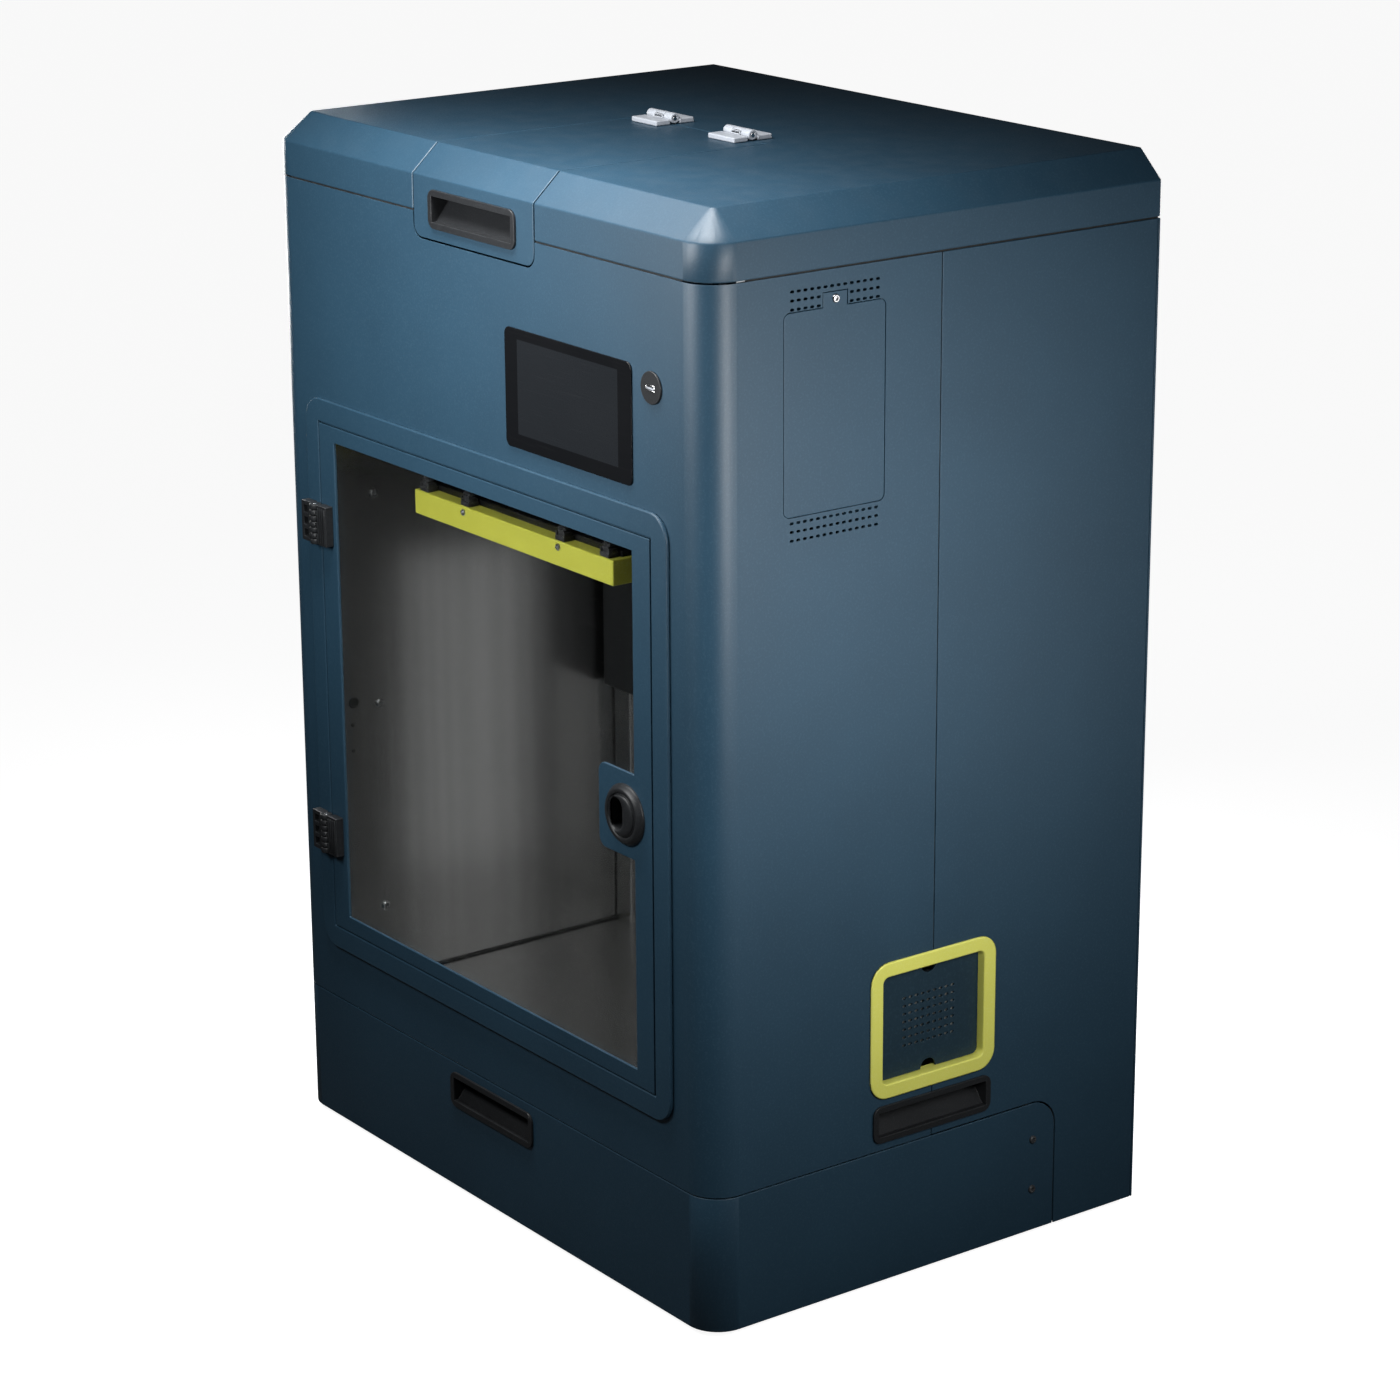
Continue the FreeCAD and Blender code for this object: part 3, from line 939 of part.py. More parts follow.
def make_chamber():
    y, z = (f"({FRONT} + sheet_wall)", BACK_WALL), (FLOOR_TOP, DECK_LOW)
    far, through = f"({CHAMBER_HALF} + steel_wall)", "(3 * steel_wall)"
    port = rod("left_wall_port", "X", (f"(-{far} - steel_wall)", f"({FRONT} + port_setback)",
                                       "(foot_height + port_rise)"), "port_radius", through)
    left = cut("left_wall", block("left_wall_blank", on_side(-1, CHAMBER_HALF, far), y, z), port)
    air_hole = rod("right_wall_hole", "X", (f"({CHAMBER_HALF} - steel_wall)", MIDDLE, FILTER_Z), "fan_bore",
                   through)
    right = cut("right_wall", block("right_wall_blank", on_side(1, CHAMBER_HALF, far), y, z), air_hole)
    back = block("back_wall", (f"-{far}", far), (BACK_WALL, f"({BACK_WALL} + steel_wall)"), z)
    studs = []
    for sign in (1, -1):
        face = mirrored(sign, CHAMBER_HALF)
        spots = [(face, f"({FRONT} + stud_setback)", f"(foot_height + {level})")
                 for level in ("stud_low", "stud_mid", "stud_high")]
        studs += screw_heads(f"studs{sign + 1}", "X", -sign, spots, "stud_radius", "stud_head").Links
    heater_x = (f"(-{CHAMBER_HALF} + heater_gap)", f"(-{CHAMBER_HALF} + heater_gap + heater_width)")
    heater_z = ("(foot_height + heater_rise)", "(foot_height + heater_rise + heater_height)")
    heater = block("chamber_heater", heater_x, (f"({BACK_WALL} - heater_depth)", BACK_WALL), heater_z)
    duct_x = (f"(-{CHAMBER_HALF} + duct_gap)", f"(-{CHAMBER_HALF} + duct_gap + duct_width)")
    duct = block("heater_duct", duct_x, (f"({BACK_WALL} - duct_depth)", BACK_WALL), (FLOOR_TOP, heater_z[0]))
    return group("chamber_walls", left, right, back), studs, [heater, duct]


def make_deck():
    outer = block("deck_blank", around("0", f"({INNER} - post_size)"),
                  (f"({FRONT} + deck_front_gap)", f"({BACK_WALL} + steel_wall)"), (DECK_LOW, DECK_TOP))
    opening = block("deck_opening", around("0", f"({GANTRY_X} - deck_open_inset)"),
                    (f"({FRONT} + deck_open_front)", f"({BACK_WALL} - deck_open_rear)"),
                    (f"({DECK_LOW} - deck_wall)", f"({DECK_TOP} + deck_wall)"))
    lead_hole = rod("deck_lead_hole", "Z", ("0", LEAD_Y, f"({DECK_LOW} - deck_wall)"),
                    "(lead_radius + lead_deck_clear)", "(3 * deck_wall)")
    return cut("gantry_deck", outer, opening, lead_hole)


# Lifting bed

def make_bed():
    inside = "(bed_half - bar_depth)"
    outer = block("bed_outer", around("0", "bed_half"), (BED_FRONT, CARRIAGE_FRONT), (BAR_LOW, BAR_TOP))
    frame = cut("bed_frame", outer,
                block("bed_inner", around("0", inside),
                      (f"({BED_FRONT} + bar_depth)", f"({CARRIAGE_FRONT} - bar_depth)"),
                      (f"({BAR_LOW} - bar_height)", f"({BAR_TOP} + bar_height)")))
    plate_y = (f"({BED_FRONT} + plate_setback)", f"({CARRIAGE_FRONT} - plate_inset)")
    plate_x = around("0", "(bed_half - plate_inset)")
    heater_top = f"({BAR_TOP} + heater_plate_wall)"
    heater = block("heated_plate", plate_x, plate_y, (BAR_TOP, heater_top))
    plate = block("build_plate", plate_x, plate_y, (heater_top, PLATE_TOP))
    clamps = []
    clamp_y = (f"({plate_y[0]} - clamp_depth)", f"({plate_y[0]} - clamp_gap)")
    cap = (f"({PLATE_TOP} + clamp_gap)", f"({PLATE_TOP} + clamp_gap + clamp_wall)")
    for index, x in enumerate(("-clamp_outer_x", "-clamp_inner_x", "clamp_inner_x", "clamp_outer_x")):
        width = around(f"({x})", "(clamp_width / 2)")
        foot = block(f"clamp_foot{index}", width, clamp_y, (BAR_TOP, cap[1]))
        tip = block(f"clamp_tip{index}", width, (clamp_y[0], f"({plate_y[0]} + clamp_reach)"), cap)
        knob = rod(f"clamp_knob{index}", "Z", (f"({x})", f"({plate_y[0]} - clamp_depth / 2)", cap[1]),
                   "clamp_knob_radius", "clamp_knob_height")
        clamps.append(join(f"clamp{index}", foot, tip, knob))
    screw_z = f"({BAR_TOP} - bar_height / 2)"
    spots = [(x, BED_FRONT, screw_z) for x in ("-bar_screw_x", "bar_screw_x")]
    screws = screw_heads("bed_screws", "Y", -1, spots, "screw_radius", "screw_head").Links
    return [frame, heater, plate, group("bed_clamps", *clamps, *screws)]


def make_bed_carriage():
    plate = block("carriage_plate", around("0", "carriage_half"), (CARRIAGE_FRONT, CARRIAGE_BACK),
                  (f"({BAR_LOW} - carriage_drop)", BAR_TOP))
    solids = [plate]
    arm_start = f"({BED_FRONT} + arm_front)"
    profile = [(arm_start, f"({BAR_LOW} - arm_front_height)", None),
               (CARRIAGE_FRONT, f"({BAR_LOW} - arm_rear_height)", None),
               (CARRIAGE_FRONT, BAR_LOW, None), (arm_start, BAR_LOW, None)]
    for sign in (1, -1):
        arm_x = around(mirrored(sign, "arm_x"), "(arm_wall / 2)")
        solids.append(panel(f"carriage_arm{sign + 1}", "YZ", arm_x, profile))
    nut_y = (CARRIAGE_BACK, f"({BACK_WALL} - guide_clear - sheet_wall)")
    nut_z = (f"({BAR_LOW} - nut_height)", BAR_LOW)
    solids.append(block("lead_nut", around("0", "nut_half"), nut_y, nut_z))
    bore = rod("lead_nut_bore", "Z", ("0", LEAD_Y, nut_z[0]), "(lead_radius + lead_clear)", "nut_height")
    carriage = cut("bed_carriage", join("carriage_blank", *solids), bore)
    rails, blocks = [], []
    block_z = (f"({BAR_TOP} - block_length)", BAR_TOP)
    for sign in (1, -1):
        centre = mirrored(sign, "arm_x")
        rail_x, rail_y = around(centre, "(guide_width / 2)"), (f"({BACK_WALL} - guide_depth)", BACK_WALL)
        rails.append(block(f"lift_rail{sign + 1}", rail_x, rail_y,
                           (f"({FLOOR_TOP} + guide_floor_gap)", f"({DECK_LOW} - guide_top_gap)")))
        runner = block(f"runner_blank{sign + 1}", around(centre, "(block_width / 2)"),
                       (CARRIAGE_BACK, f"({BACK_WALL} - guide_depth / 3)"), block_z)
        groove = block(f"runner_groove{sign + 1}", around(centre, "(guide_width / 2 + guide_clear)"),
                       (f"({BACK_WALL} - guide_depth - guide_clear)", BACK_WALL), block_z)
        blocks.append(cut(f"runner{sign + 1}", runner, groove))
    screw_z = (f"({FLOOR_TOP} + lead_end_gap)", f"({DECK_TOP} - lead_end_gap)")
    lead = rod("lead_screw", "Z", ("0", LEAD_Y, screw_z[0]), "lead_radius", f"({screw_z[1]} - {screw_z[0]})")
    return carriage, rails, group("lift_runners", *blocks), lead


# Gantry

def make_gantry():
    trucks, rails, belts = [], [], []
    truck_y = around(BEAM_Y, "(truck_length / 2)")
    rail_y = (f"({FRONT} + gantry_rail_start)", f"({BACK_WALL} - guide_depth)")
    motors = [block("lift_motor", around("0", "(lift_motor_size / 2)"),
                    around(LEAD_Y, "(lift_motor_size / 2)"), (DECK_TOP, f"({DECK_TOP} + lift_motor_length)"))]
    belt_first, belt_last = (rail_y[0], BELT_Z), (rail_y[1], BELT_Z)
    for sign in (1, -1):
        centre = mirrored(sign, GANTRY_X)
        rails.append(block(f"gantry_rail{sign + 1}", around(centre, "(guide_width / 2)"), rail_y,
                           (DECK_TOP, f"({DECK_TOP} + guide_depth)")))
        truck = block(f"truck_blank{sign + 1}", around(centre, "truck_half"), truck_y,
                      (f"({DECK_TOP} + guide_depth / 3)", TRUCK_TOP))
        groove = block(f"truck_groove{sign + 1}", around(centre, "(guide_width / 2 + guide_clear)"), truck_y,
                       (DECK_TOP, f"({DECK_TOP} + guide_depth + guide_clear)"))
        trucks.append(cut(f"truck{sign + 1}", truck, groove))
        far = f"({BELT_X} + belt_offset + pulley_width)"
        pulley_x = on_side(sign, BELT_X, far)[0]
        for tag, y, size, depth in (("motor", rail_y[1], "motor_size", "motor_length"),
                                    ("idler", rail_y[0], "idler_size", "idler_wall")):
            body = block(f"{tag}_body{sign + 1}", on_side(sign, far, f"({far} + {depth})"),
                         around(y, f"({size} / 2)"), (DECK_TOP, f"({BELT_Z} + {size} / 2)"))
            wheel = rod(f"{tag}_wheel{sign + 1}", "X", (pulley_x, y, BELT_Z), "pulley_radius",
                        "(belt_offset + pulley_width)")
            (motors if tag == "motor" else belts).append(join(f"{tag}_unit{sign + 1}", body, wheel))
        belt_low = on_side(sign, f"({BELT_X} + belt_offset)", f"({BELT_X} + belt_offset + belt_width)")[0]
        belts.append(racetrack(f"gantry_belt{sign + 1}", "YZ", belt_first, belt_last, belt_low,
                               "(pulley_radius + belt_gap)", "belt_wall", "belt_width"))
    beam = block("beam_bar", around("0", f"({GANTRY_X} + truck_half)"), around(BEAM_Y, "(beam_size / 2)"),
                 (TRUCK_TOP, f"({TRUCK_TOP} + beam_size)"))
    cross_y = (f"({BEAM_FACE} - cross_rail_depth)", BEAM_FACE)
    cross = block("cross_rail", around("0", "cross_rail_half"), cross_y,
                  around(BEAM_Z, "(cross_rail_height / 2)"))
    beam_motor = block("beam_motor_body", around("pulley_x", "(motor_size / 2)"),
                       (f"({BEAM_Y} + beam_size / 2)", f"({BEAM_Y} + beam_size / 2 + motor_length)"),
                       around(BEAM_Z, "(motor_size / 2)"))
    wheels = [rod(f"beam_wheel{sign + 1}", "Y",
                  (mirrored(sign, "pulley_x"), f"({BEAM_FACE} - pulley_width)", BEAM_Z),
                  "pulley_radius", "pulley_width") for sign in (1, -1)]
    beam_belt = racetrack("beam_belt", "XZ", ("-pulley_x", BEAM_Z), ("pulley_x", BEAM_Z),
                          f"({BEAM_FACE} - belt_offset - belt_width)", "(pulley_radius + belt_gap)",
                          "belt_wall", "belt_width")
    return [rails, group("gantry_trucks", *trucks), group("axis_motors", *motors),
            group("gantry_belts", *belts), group("cross_beam", beam, cross),
            group("cross_drive", beam_motor, *wheels, beam_belt)]


def make_print_head():
    rail_face = f"({BEAM_FACE} - cross_rail_depth)"
    back = f"({rail_face} - guide_clear)"
    slider_front = f"({back} - slider_depth)"
    lip_z = around(BEAM_Z, "(cross_rail_height / 2 + guide_clear + slider_lip)")
    slider_x = around("0", "slider_half")
    slider = cut("slider",
                 block("slider_blank", slider_x, (slider_front, f"({back} + slider_lip_length)"), lip_z),
                 block("slider_groove", slider_x, (back, f"({back} + 2 * slider_lip_length)"),
                       around(BEAM_Z, "(cross_rail_height / 2 + guide_clear)")))
    low, high = f"({BEAM_Z} - head_below)", f"({BEAM_Z} + head_above)"
    plan = rectangle(around("0", "head_half"), (f"({slider_front} - head_depth)", slider_front),
                     "head_radius")
    case = panel("head_case", "XY", (low, high), plan)
    head = join("print_head", case, slider)
    hotends = []
    y = f"({slider_front} - hotend_setback)"
    tip_z = f"({PLATE_TOP} + nozzle_gap)"
    block_z = (f"({tip_z} + nozzle_height)", f"({tip_z} + nozzle_height + block_height)")
    for sign in (1, -1):
        x = mirrored(sign, "hotend_x")
        cone = doc.addObject("Part::Cone", f"nozzle{sign + 1}")
        bind(cone, Radius1="nozzle_tip", Radius2="nozzle_radius", Height="nozzle_height")
        place(cone, x, y, tip_z)
        heater = block(f"hot_block{sign + 1}", around(x, "block_half"), around(y, "block_half"), block_z)
        sink = rod(f"hot_sink{sign + 1}", "Z", (x, y, block_z[1]), "sink_radius", f"({low} - {block_z[1]})")
        hotends.append(join(f"hotend{sign + 1}", cone, heater, sink))
    return [head, group("hot_ends", *hotends)]


# Electronics and the back

def make_electronics():
    supply = block("power_supply", around("supply_x", "(supply_width / 2)"),
                   (f"({REAR} - sheet_wall - supply_depth)", f"({REAR} - sheet_wall)"),
                   around("(foot_height + supply_rise)", "(supply_height / 2)"))
    bracket_x = (f"({INNER} - bracket_inset)", f"({INNER} - bracket_inset + bracket_wall)")
    board_y, board_z = around(COVER_Y, "(board_width / 2)"), around(COVER_Z, "(board_height / 2)")
    upright = block("bracket_upright", bracket_x, board_y, (DECK_TOP, board_z[1]))
    foot = block("bracket_foot_flange", (f"({bracket_x[0]} - bracket_foot)", bracket_x[0]), board_y,
                 (DECK_TOP, f"({DECK_TOP} + bracket_wall)"))
    bracket = join("board_bracket", upright, foot)
    board_x = (f"({bracket_x[1]} + board_standoff)", f"({bracket_x[1]} + board_standoff + board_wall)")
    solids = [block("board_sheet", board_x, board_y, board_z),
              block("board_chips", (board_x[1], f"({board_x[1]} + chip_height)"),
                    around(COVER_Y, "(board_width / 4)"), around(COVER_Z, "(board_height / 4)"))]
    for column, y in enumerate(around(COVER_Y, "(board_width / 2 - 2 * standoff_radius)")):
        for row, z in enumerate(around(COVER_Z, "(board_height / 2 - 2 * standoff_radius)")):
            solids.append(rod(f"standoff{column}{row}", "X", (bracket_x[1], y, z), "standoff_radius",
                              "board_standoff"))
    return [supply, group("control_board", bracket, join("board", *solids))]


def make_inlet():
    """Mains inlet on the back with its rocker switch; the rocker tilts on a pivot across the module."""
    face = f"({REAR} + inlet_flange)"
    mouth = f"({face} + inlet_flange)"
    flange = block("inlet_flange_plate", around("inlet_x", "(inlet_width / 2)"), (REAR, face),
                   around(INLET_Z, "(inlet_height / 2)"))
    body = block("inlet_body", around("inlet_x", "(inlet_width / 2 - inlet_border)"),
                 (f"({REAR} - inlet_depth)", REAR), around(INLET_Z, "(inlet_height / 2 - inlet_border)"))
    socket_z, switch_z = f"({INLET_Z} - socket_place)", f"({INLET_Z} + switch_place)"
    socket_floor = f"({REAR} - socket_pin_depth)"
    socket = block("inlet_socket", around("inlet_x", "(socket_width / 2)"), (socket_floor, mouth),
                   around(socket_z, "(socket_height / 2)"))
    well = block("switch_well", around("inlet_x", "(switch_width / 2)"),
                 (f"({REAR} - 2 * switch_depth)", mouth), around(switch_z, "(switch_height / 2)"))
    module = cut("inlet_shell", join("inlet_blank", flange, body), socket, well)
    pins = []
    for index, shift in enumerate((-1, 0, 1)):
        pin_x = around(f"(inlet_x + {shift} * socket_width / 4)", "tongue_wall / 2")
        pins.append(block(f"inlet_pin{index}", pin_x, (socket_floor, f"({REAR} - tongue_wall)"),
                          around(socket_z, "tongue_wall")))
    pivot_start = ("(inlet_x - switch_width / 2)", f"({REAR} - switch_depth)", switch_z)
    pivot = rod("switch_pivot", "X", pivot_start, "switch_pivot_radius", "switch_width")
    inlet = join("mains_inlet", module, pivot, *pins)
    slant = f"({REAR} - switch_height / 2 * tan(switch_tilt))"
    heel_y = f"({REAR} - switch_depth - 2 * switch_pivot_radius)"
    edge = around(switch_z, "(switch_height / 2 - 2 * switch_clear)")
    heel = around(switch_z, "(switch_height / 4)")
    profile = [(heel_y, heel[0], None), (slant, edge[0], None), (REAR, switch_z, None),
               (slant, edge[1], None), (heel_y, heel[1], None)]
    rocker = panel("rocker_blank", "YZ", around("inlet_x", "(switch_width / 2 - switch_clear)"), profile)
    bore = rod("rocker_bore", "X", pivot_start, "(switch_pivot_radius + pin_clear)", "switch_width")
    return [inlet, cut("power_rocker", rocker, bore)]


hatch_leaves, lid_leaves, hatch_pins = make_hatch_hinges()
hinge_bases, hinge_arms, door_pins = make_door_hinges()
service_cover, cover_screws = make_service_cover()
chamber_walls, wall_studs, chamber_fittings = make_chamber()
bed_carriage, lift_rails, lift_runners, lead_screw = make_bed_carriage()
gantry_rails, *gantry = make_gantry()
nodes = [make_base_pan(), make_feet(), make_frame(), make_floor(), *make_drawer(),
         make_front_shell(), group("side_panels", side_panel("right_panel", 1), side_panel("left_panel", -1)),
         make_back_panel(), *make_lid_and_hatch(), hatch_leaves, lid_leaves,
         group("hinge_pins", *hatch_pins, *door_pins), *make_door(), *make_latch(), hinge_bases, hinge_arms,
         make_display(), make_data_socket(), service_cover,
         group("cabinet_screws", *cover_screws, *wall_studs), *make_filter(), make_lift_pulls(),
         chamber_walls, *chamber_fittings, make_deck(), *make_bed(), bed_carriage, lift_runners, lead_screw,
         group("guide_rails", *lift_rails, *gantry_rails), *gantry, *make_print_head(), *make_electronics(),
         *make_inlet()]
doc.recompute()

failed = [item.Label for item in doc.Objects if {"Invalid", "Error"} & set(item.State)]
for item in nodes:
    if item.Shape.isNull() or not item.Shape.isValid() or not item.Shape.Solids:
        failed.append(item.Label)
if failed:
    raise RuntimeError(f"failed objects: {sorted(set(failed))}")

os.makedirs("parts", exist_ok=True)
for item in nodes:
    item.Shape.exportStep(f"parts/{item.Label}.step")
print(len(nodes), "sub-parts,", sum(len(item.Shape.Solids) for item in nodes), "solids")
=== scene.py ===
"""Looks of an enclosed printer: finishes for its built pieces, small fittings, studio light and camera."""
import math

import bmesh
import bpy
from mathutils import Matrix, Vector


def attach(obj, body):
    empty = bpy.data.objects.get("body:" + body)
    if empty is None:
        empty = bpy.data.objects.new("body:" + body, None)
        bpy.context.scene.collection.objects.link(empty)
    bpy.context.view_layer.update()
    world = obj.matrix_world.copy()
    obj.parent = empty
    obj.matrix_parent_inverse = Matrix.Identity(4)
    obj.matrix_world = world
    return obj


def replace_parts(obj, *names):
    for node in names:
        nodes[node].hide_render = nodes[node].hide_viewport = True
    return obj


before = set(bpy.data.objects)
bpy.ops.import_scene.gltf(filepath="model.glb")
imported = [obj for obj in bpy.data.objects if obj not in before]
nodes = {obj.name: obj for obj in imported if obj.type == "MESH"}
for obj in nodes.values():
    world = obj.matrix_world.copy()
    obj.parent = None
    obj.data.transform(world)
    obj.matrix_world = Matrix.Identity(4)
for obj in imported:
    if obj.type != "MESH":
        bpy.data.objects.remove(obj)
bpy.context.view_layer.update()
MM = 0.001

# Faces, walls and levels of the built model that the fittings here sit on, in millimetres
FACE = -252.05              # front of the door surround
CABINET_FRONT = -248.05
BACK = 261.95
SIDE = 350.0
CHAMBER_SIDE = 285.0
CHAMBER_BACK = 129.45
CHAMBER_FOOT = 141.75
LID_SEAM = (965.7, 967.1)   # height of the gap under the lid
LATCH = (233.0, 474.0)      # x and z of the latch's axis
HOT_END_Y = -103.2
PLAIN_CREASE = 35.0         # degrees; edges that turn by more are sharp

# Head radius and height of the screws, in millimetres
PANEL_SCREW = (4.0, 2.0)
WALL_STUD = (5.0, 3.2)
BAR_SCREW = (3.4, 2.0)

# Values that several finishes share
NOISE_MIDDLE = (0.3, 0.7)   # limits of the middle part of a noise texture's values
FLECK_SHARE = 0.14
GRAIN_BUMP = 0.35
BRUSH_DEPTH = 0.00008
DUST_TONE = (0.42, 0.42, 0.4)
RUBBED_METAL = (0.8, 0.8, 0.8)
WHITE = (1.0, 1.0, 1.0, 1.0)


# Shader effects that several finishes share

def place(tree, kind, values=None, **settings):
    """Put a shader node in a tree; a socket given as a value is wired in, anything else is set."""
    item = tree.nodes.new(kind if kind.startswith("Node") else "ShaderNode" + kind)
    for key, value in settings.items():
        setattr(item, key, value)
    for key, value in (values or {}).items():
        if isinstance(value, bpy.types.NodeSocket):
            tree.links.new(value, item.inputs[key])
        else:
            item.inputs[key].default_value = value
    return item


def effect(name, inputs, outputs):
    """Start a shader group with named inputs and outputs; gives the tree, its inputs and its outputs."""
    tree = bpy.data.node_groups.new(name, "ShaderNodeTree")
    for label, value in inputs.items():
        kind = "NodeSocketVector" if isinstance(value, tuple) else "NodeSocketFloat"
        tree.interface.new_socket(label, in_out="INPUT", socket_type=kind).default_value = value
    for label in outputs:
        tree.interface.new_socket(label, in_out="OUTPUT", socket_type="NodeSocketFloat")
    return tree, place(tree, "NodeGroupInput").outputs, place(tree, "NodeGroupOutput").inputs


def spread(tree, value, low, high, to_low=0.0, to_high=1.0):
    """Stretch the part of a value between two limits over a new range."""
    return place(tree, "MapRange", {"Value": value, "From Min": low, "From Max": high, "To Min": to_low,
                                    "To Max": to_high}).outputs["Result"]


def times(tree, first, second):
    return place(tree, "Math", {0: first, 1: second}, operation="MULTIPLY").outputs[0]


def make_fine_grain():
    """Sprayed or moulded texture: small bumps, and flecks that stand out from them."""
    tree, given, result = effect("Fine grain", {"Scale": 900.0}, ["Height", "Fleck"])
    spot = place(tree, "TexCoord").outputs["Object"]
    bumps = place(tree, "TexNoise", {"Vector": spot, "Scale": given["Scale"], "Detail": 3.0})
    half = times(tree, given["Scale"], 0.45)
    flecks = place(tree, "TexNoise", {"Vector": spot, "Scale": half, "Detail": 1.0})
    tree.links.new(bumps.outputs[0], result["Height"])
    tree.links.new(spread(tree, flecks.outputs[0], 0.52, 0.7), result["Fleck"])
    return tree


def make_edge_wear():
    """Mask of rubbed edges, broken up along their length."""
    tree, given, result = effect("Edge wear", {"Radius": 0.0015, "Breakup": 60.0}, ["Edge"])
    soft = place(tree, "Bevel", {"Radius": given["Radius"]}, samples=4).outputs[0]
    flat = place(tree, "NewGeometry").outputs["Normal"]
    agree = place(tree, "VectorMath", {0: soft, 1: flat}, operation="DOT_PRODUCT").outputs["Value"]
    spot = place(tree, "TexCoord").outputs["Object"]
    patch = place(tree, "TexNoise", {"Vector": spot, "Scale": given["Breakup"], "Detail": 4.0}).outputs[0]
    rubbed = times(tree, spread(tree, agree, 0.995, 0.9), spread(tree, patch, 0.38, 0.62))
    tree.links.new(rubbed, result["Edge"])
    return tree


def make_soft_cloud():
    """Slow changes of tone over a surface."""
    tree, given, result = effect("Soft cloud", {"Scale": 6.0}, ["Cloud"])
    spot = place(tree, "TexCoord").outputs["Object"]
    cloud = place(tree, "TexNoise", {"Vector": spot, "Scale": given["Scale"], "Detail": 5.0, "Roughness": 0.55})
    tree.links.new(spread(tree, cloud.outputs[0], *NOISE_MIDDLE), result["Cloud"])
    return tree


def make_brushing():
    """Long streaks left by a belt or a wheel; Stretch gives streaks per metre along each axis."""
    tree, given, result = effect("Brushing", {"Stretch": (400.0, 400.0, 6.0)}, ["Streak", "Height"])
    spot = place(tree, "TexCoord").outputs["Object"]
    pulled = place(tree, "VectorMath", {0: spot, 1: given["Stretch"]}, operation="MULTIPLY").outputs[0]
    broad = place(tree, "TexNoise", {"Vector": pulled, "Scale": 0.22, "Detail": 0.5}).outputs[0]
    fine = place(tree, "TexNoise", {"Vector": pulled, "Scale": 2.2, "Detail": 0.5}).outputs[0]
    tree.links.new(spread(tree, broad, *NOISE_MIDDLE), result["Streak"])
    tree.links.new(fine, result["Height"])
    return tree


def make_settled_dust():
    """Dust on faces that look up."""
    tree, given, result = effect("Settled dust", {"Scale": 40.0}, ["Dust"])
    normal = place(tree, "NewGeometry").outputs["Normal"]
    upward = place(tree, "SeparateXYZ", {0: normal}).outputs["Z"]
    spot = place(tree, "TexCoord").outputs["Object"]
    patch = place(tree, "TexNoise", {"Vector": spot, "Scale": given["Scale"], "Detail": 6.0}).outputs[0]
    tree.links.new(times(tree, spread(tree, upward, 0.5, 1.0), spread(tree, patch, 0.4, 0.75)), result["Dust"])
    return tree


def make_hairlines():
    """Fine slanted scratches from wiping."""
    tree, given, result = effect("Hairlines", {"Scale": 1.0}, ["Scratch"])
    spot = place(tree, "TexCoord").outputs["Object"]
    slanted = place(tree, "Mapping", {"Vector": spot, "Rotation": (0.5, 0.3, 0.6),
                                      "Scale": (18.0, 900.0, 900.0)})
    noise = place(tree, "TexNoise", {"Vector": slanted.outputs[0], "Scale": given["Scale"], "Detail": 2.0})
    tree.links.new(spread(tree, noise.outputs[0], 0.62, 0.72), result["Scratch"])
    return tree


FINE_GRAIN = make_fine_grain()
EDGE_WEAR = make_edge_wear()
SOFT_CLOUD = make_soft_cloud()
BRUSHING = make_brushing()
SETTLED_DUST = make_settled_dust()
HAIRLINES = make_hairlines()


# Finishes

def lay(tree, group, **values):
    """Lay a shared effect over a material, with its own values; gives the effect's outputs."""
    item = tree.nodes.new("ShaderNodeGroup")
    item.node_tree = group
    for label, value in values.items():
        item.inputs[label].default_value = value
    return item.outputs


def blend_tone(tree, mask, first, second):
    """Mix two colours by a mask; a colour is a plain tone or the output of another node."""
    item = place(tree, "Mix", data_type="RGBA")
    for socket, value in ((item.inputs[0], mask), (item.inputs[6], first), (item.inputs[7], second)):
        if isinstance(value, bpy.types.NodeSocket):
            tree.links.new(value, socket)
        else:
            socket.default_value = (*value, 1.0) if isinstance(value, tuple) else value
    return item.outputs[2]


def new_finish(name):
    material = bpy.data.materials.new(name)
    material.use_nodes = True
    tree = material.node_tree
    return material, tree, tree.nodes["Principled BSDF"]


def raise_grain(tree, shader, height, strength, distance):
    bump = place(tree, "Bump", {"Height": height, "Strength": strength, "Distance": distance})
    tree.links.new(bump.outputs[0], shader.inputs["Normal"])


def coat(name, tone, shade, bare, rough, grain=900.0, depth=0.0002, wear=0.35, dust=0.04, sheen=0.3):
    """A sprayed or moulded finish: the tone drifts, edges rub lighter, and grain breaks up the gloss."""
    material, tree, shader = new_finish(name)
    cloud = lay(tree, SOFT_CLOUD, Scale=7.0)["Cloud"]
    texture = lay(tree, FINE_GRAIN, Scale=grain)
    edge = lay(tree, EDGE_WEAR)["Edge"]
    settled = lay(tree, SETTLED_DUST)["Dust"]
    colour = blend_tone(tree, cloud, shade, tone)
    colour = blend_tone(tree, times(tree, texture["Fleck"], FLECK_SHARE), colour, bare)
    colour = blend_tone(tree, times(tree, edge, wear), colour, bare)
    colour = blend_tone(tree, times(tree, settled, dust), colour, DUST_TONE)
    tree.links.new(colour, shader.inputs["Base Color"])
    ruffled = spread(tree, texture["Height"], *NOISE_MIDDLE, rough - 0.07, rough + 0.08)
    tree.links.new(ruffled, shader.inputs["Roughness"])
    shader.inputs["Specular IOR Level"].default_value = sheen
    raise_grain(tree, shader, texture["Height"], GRAIN_BUMP, depth)
    return material


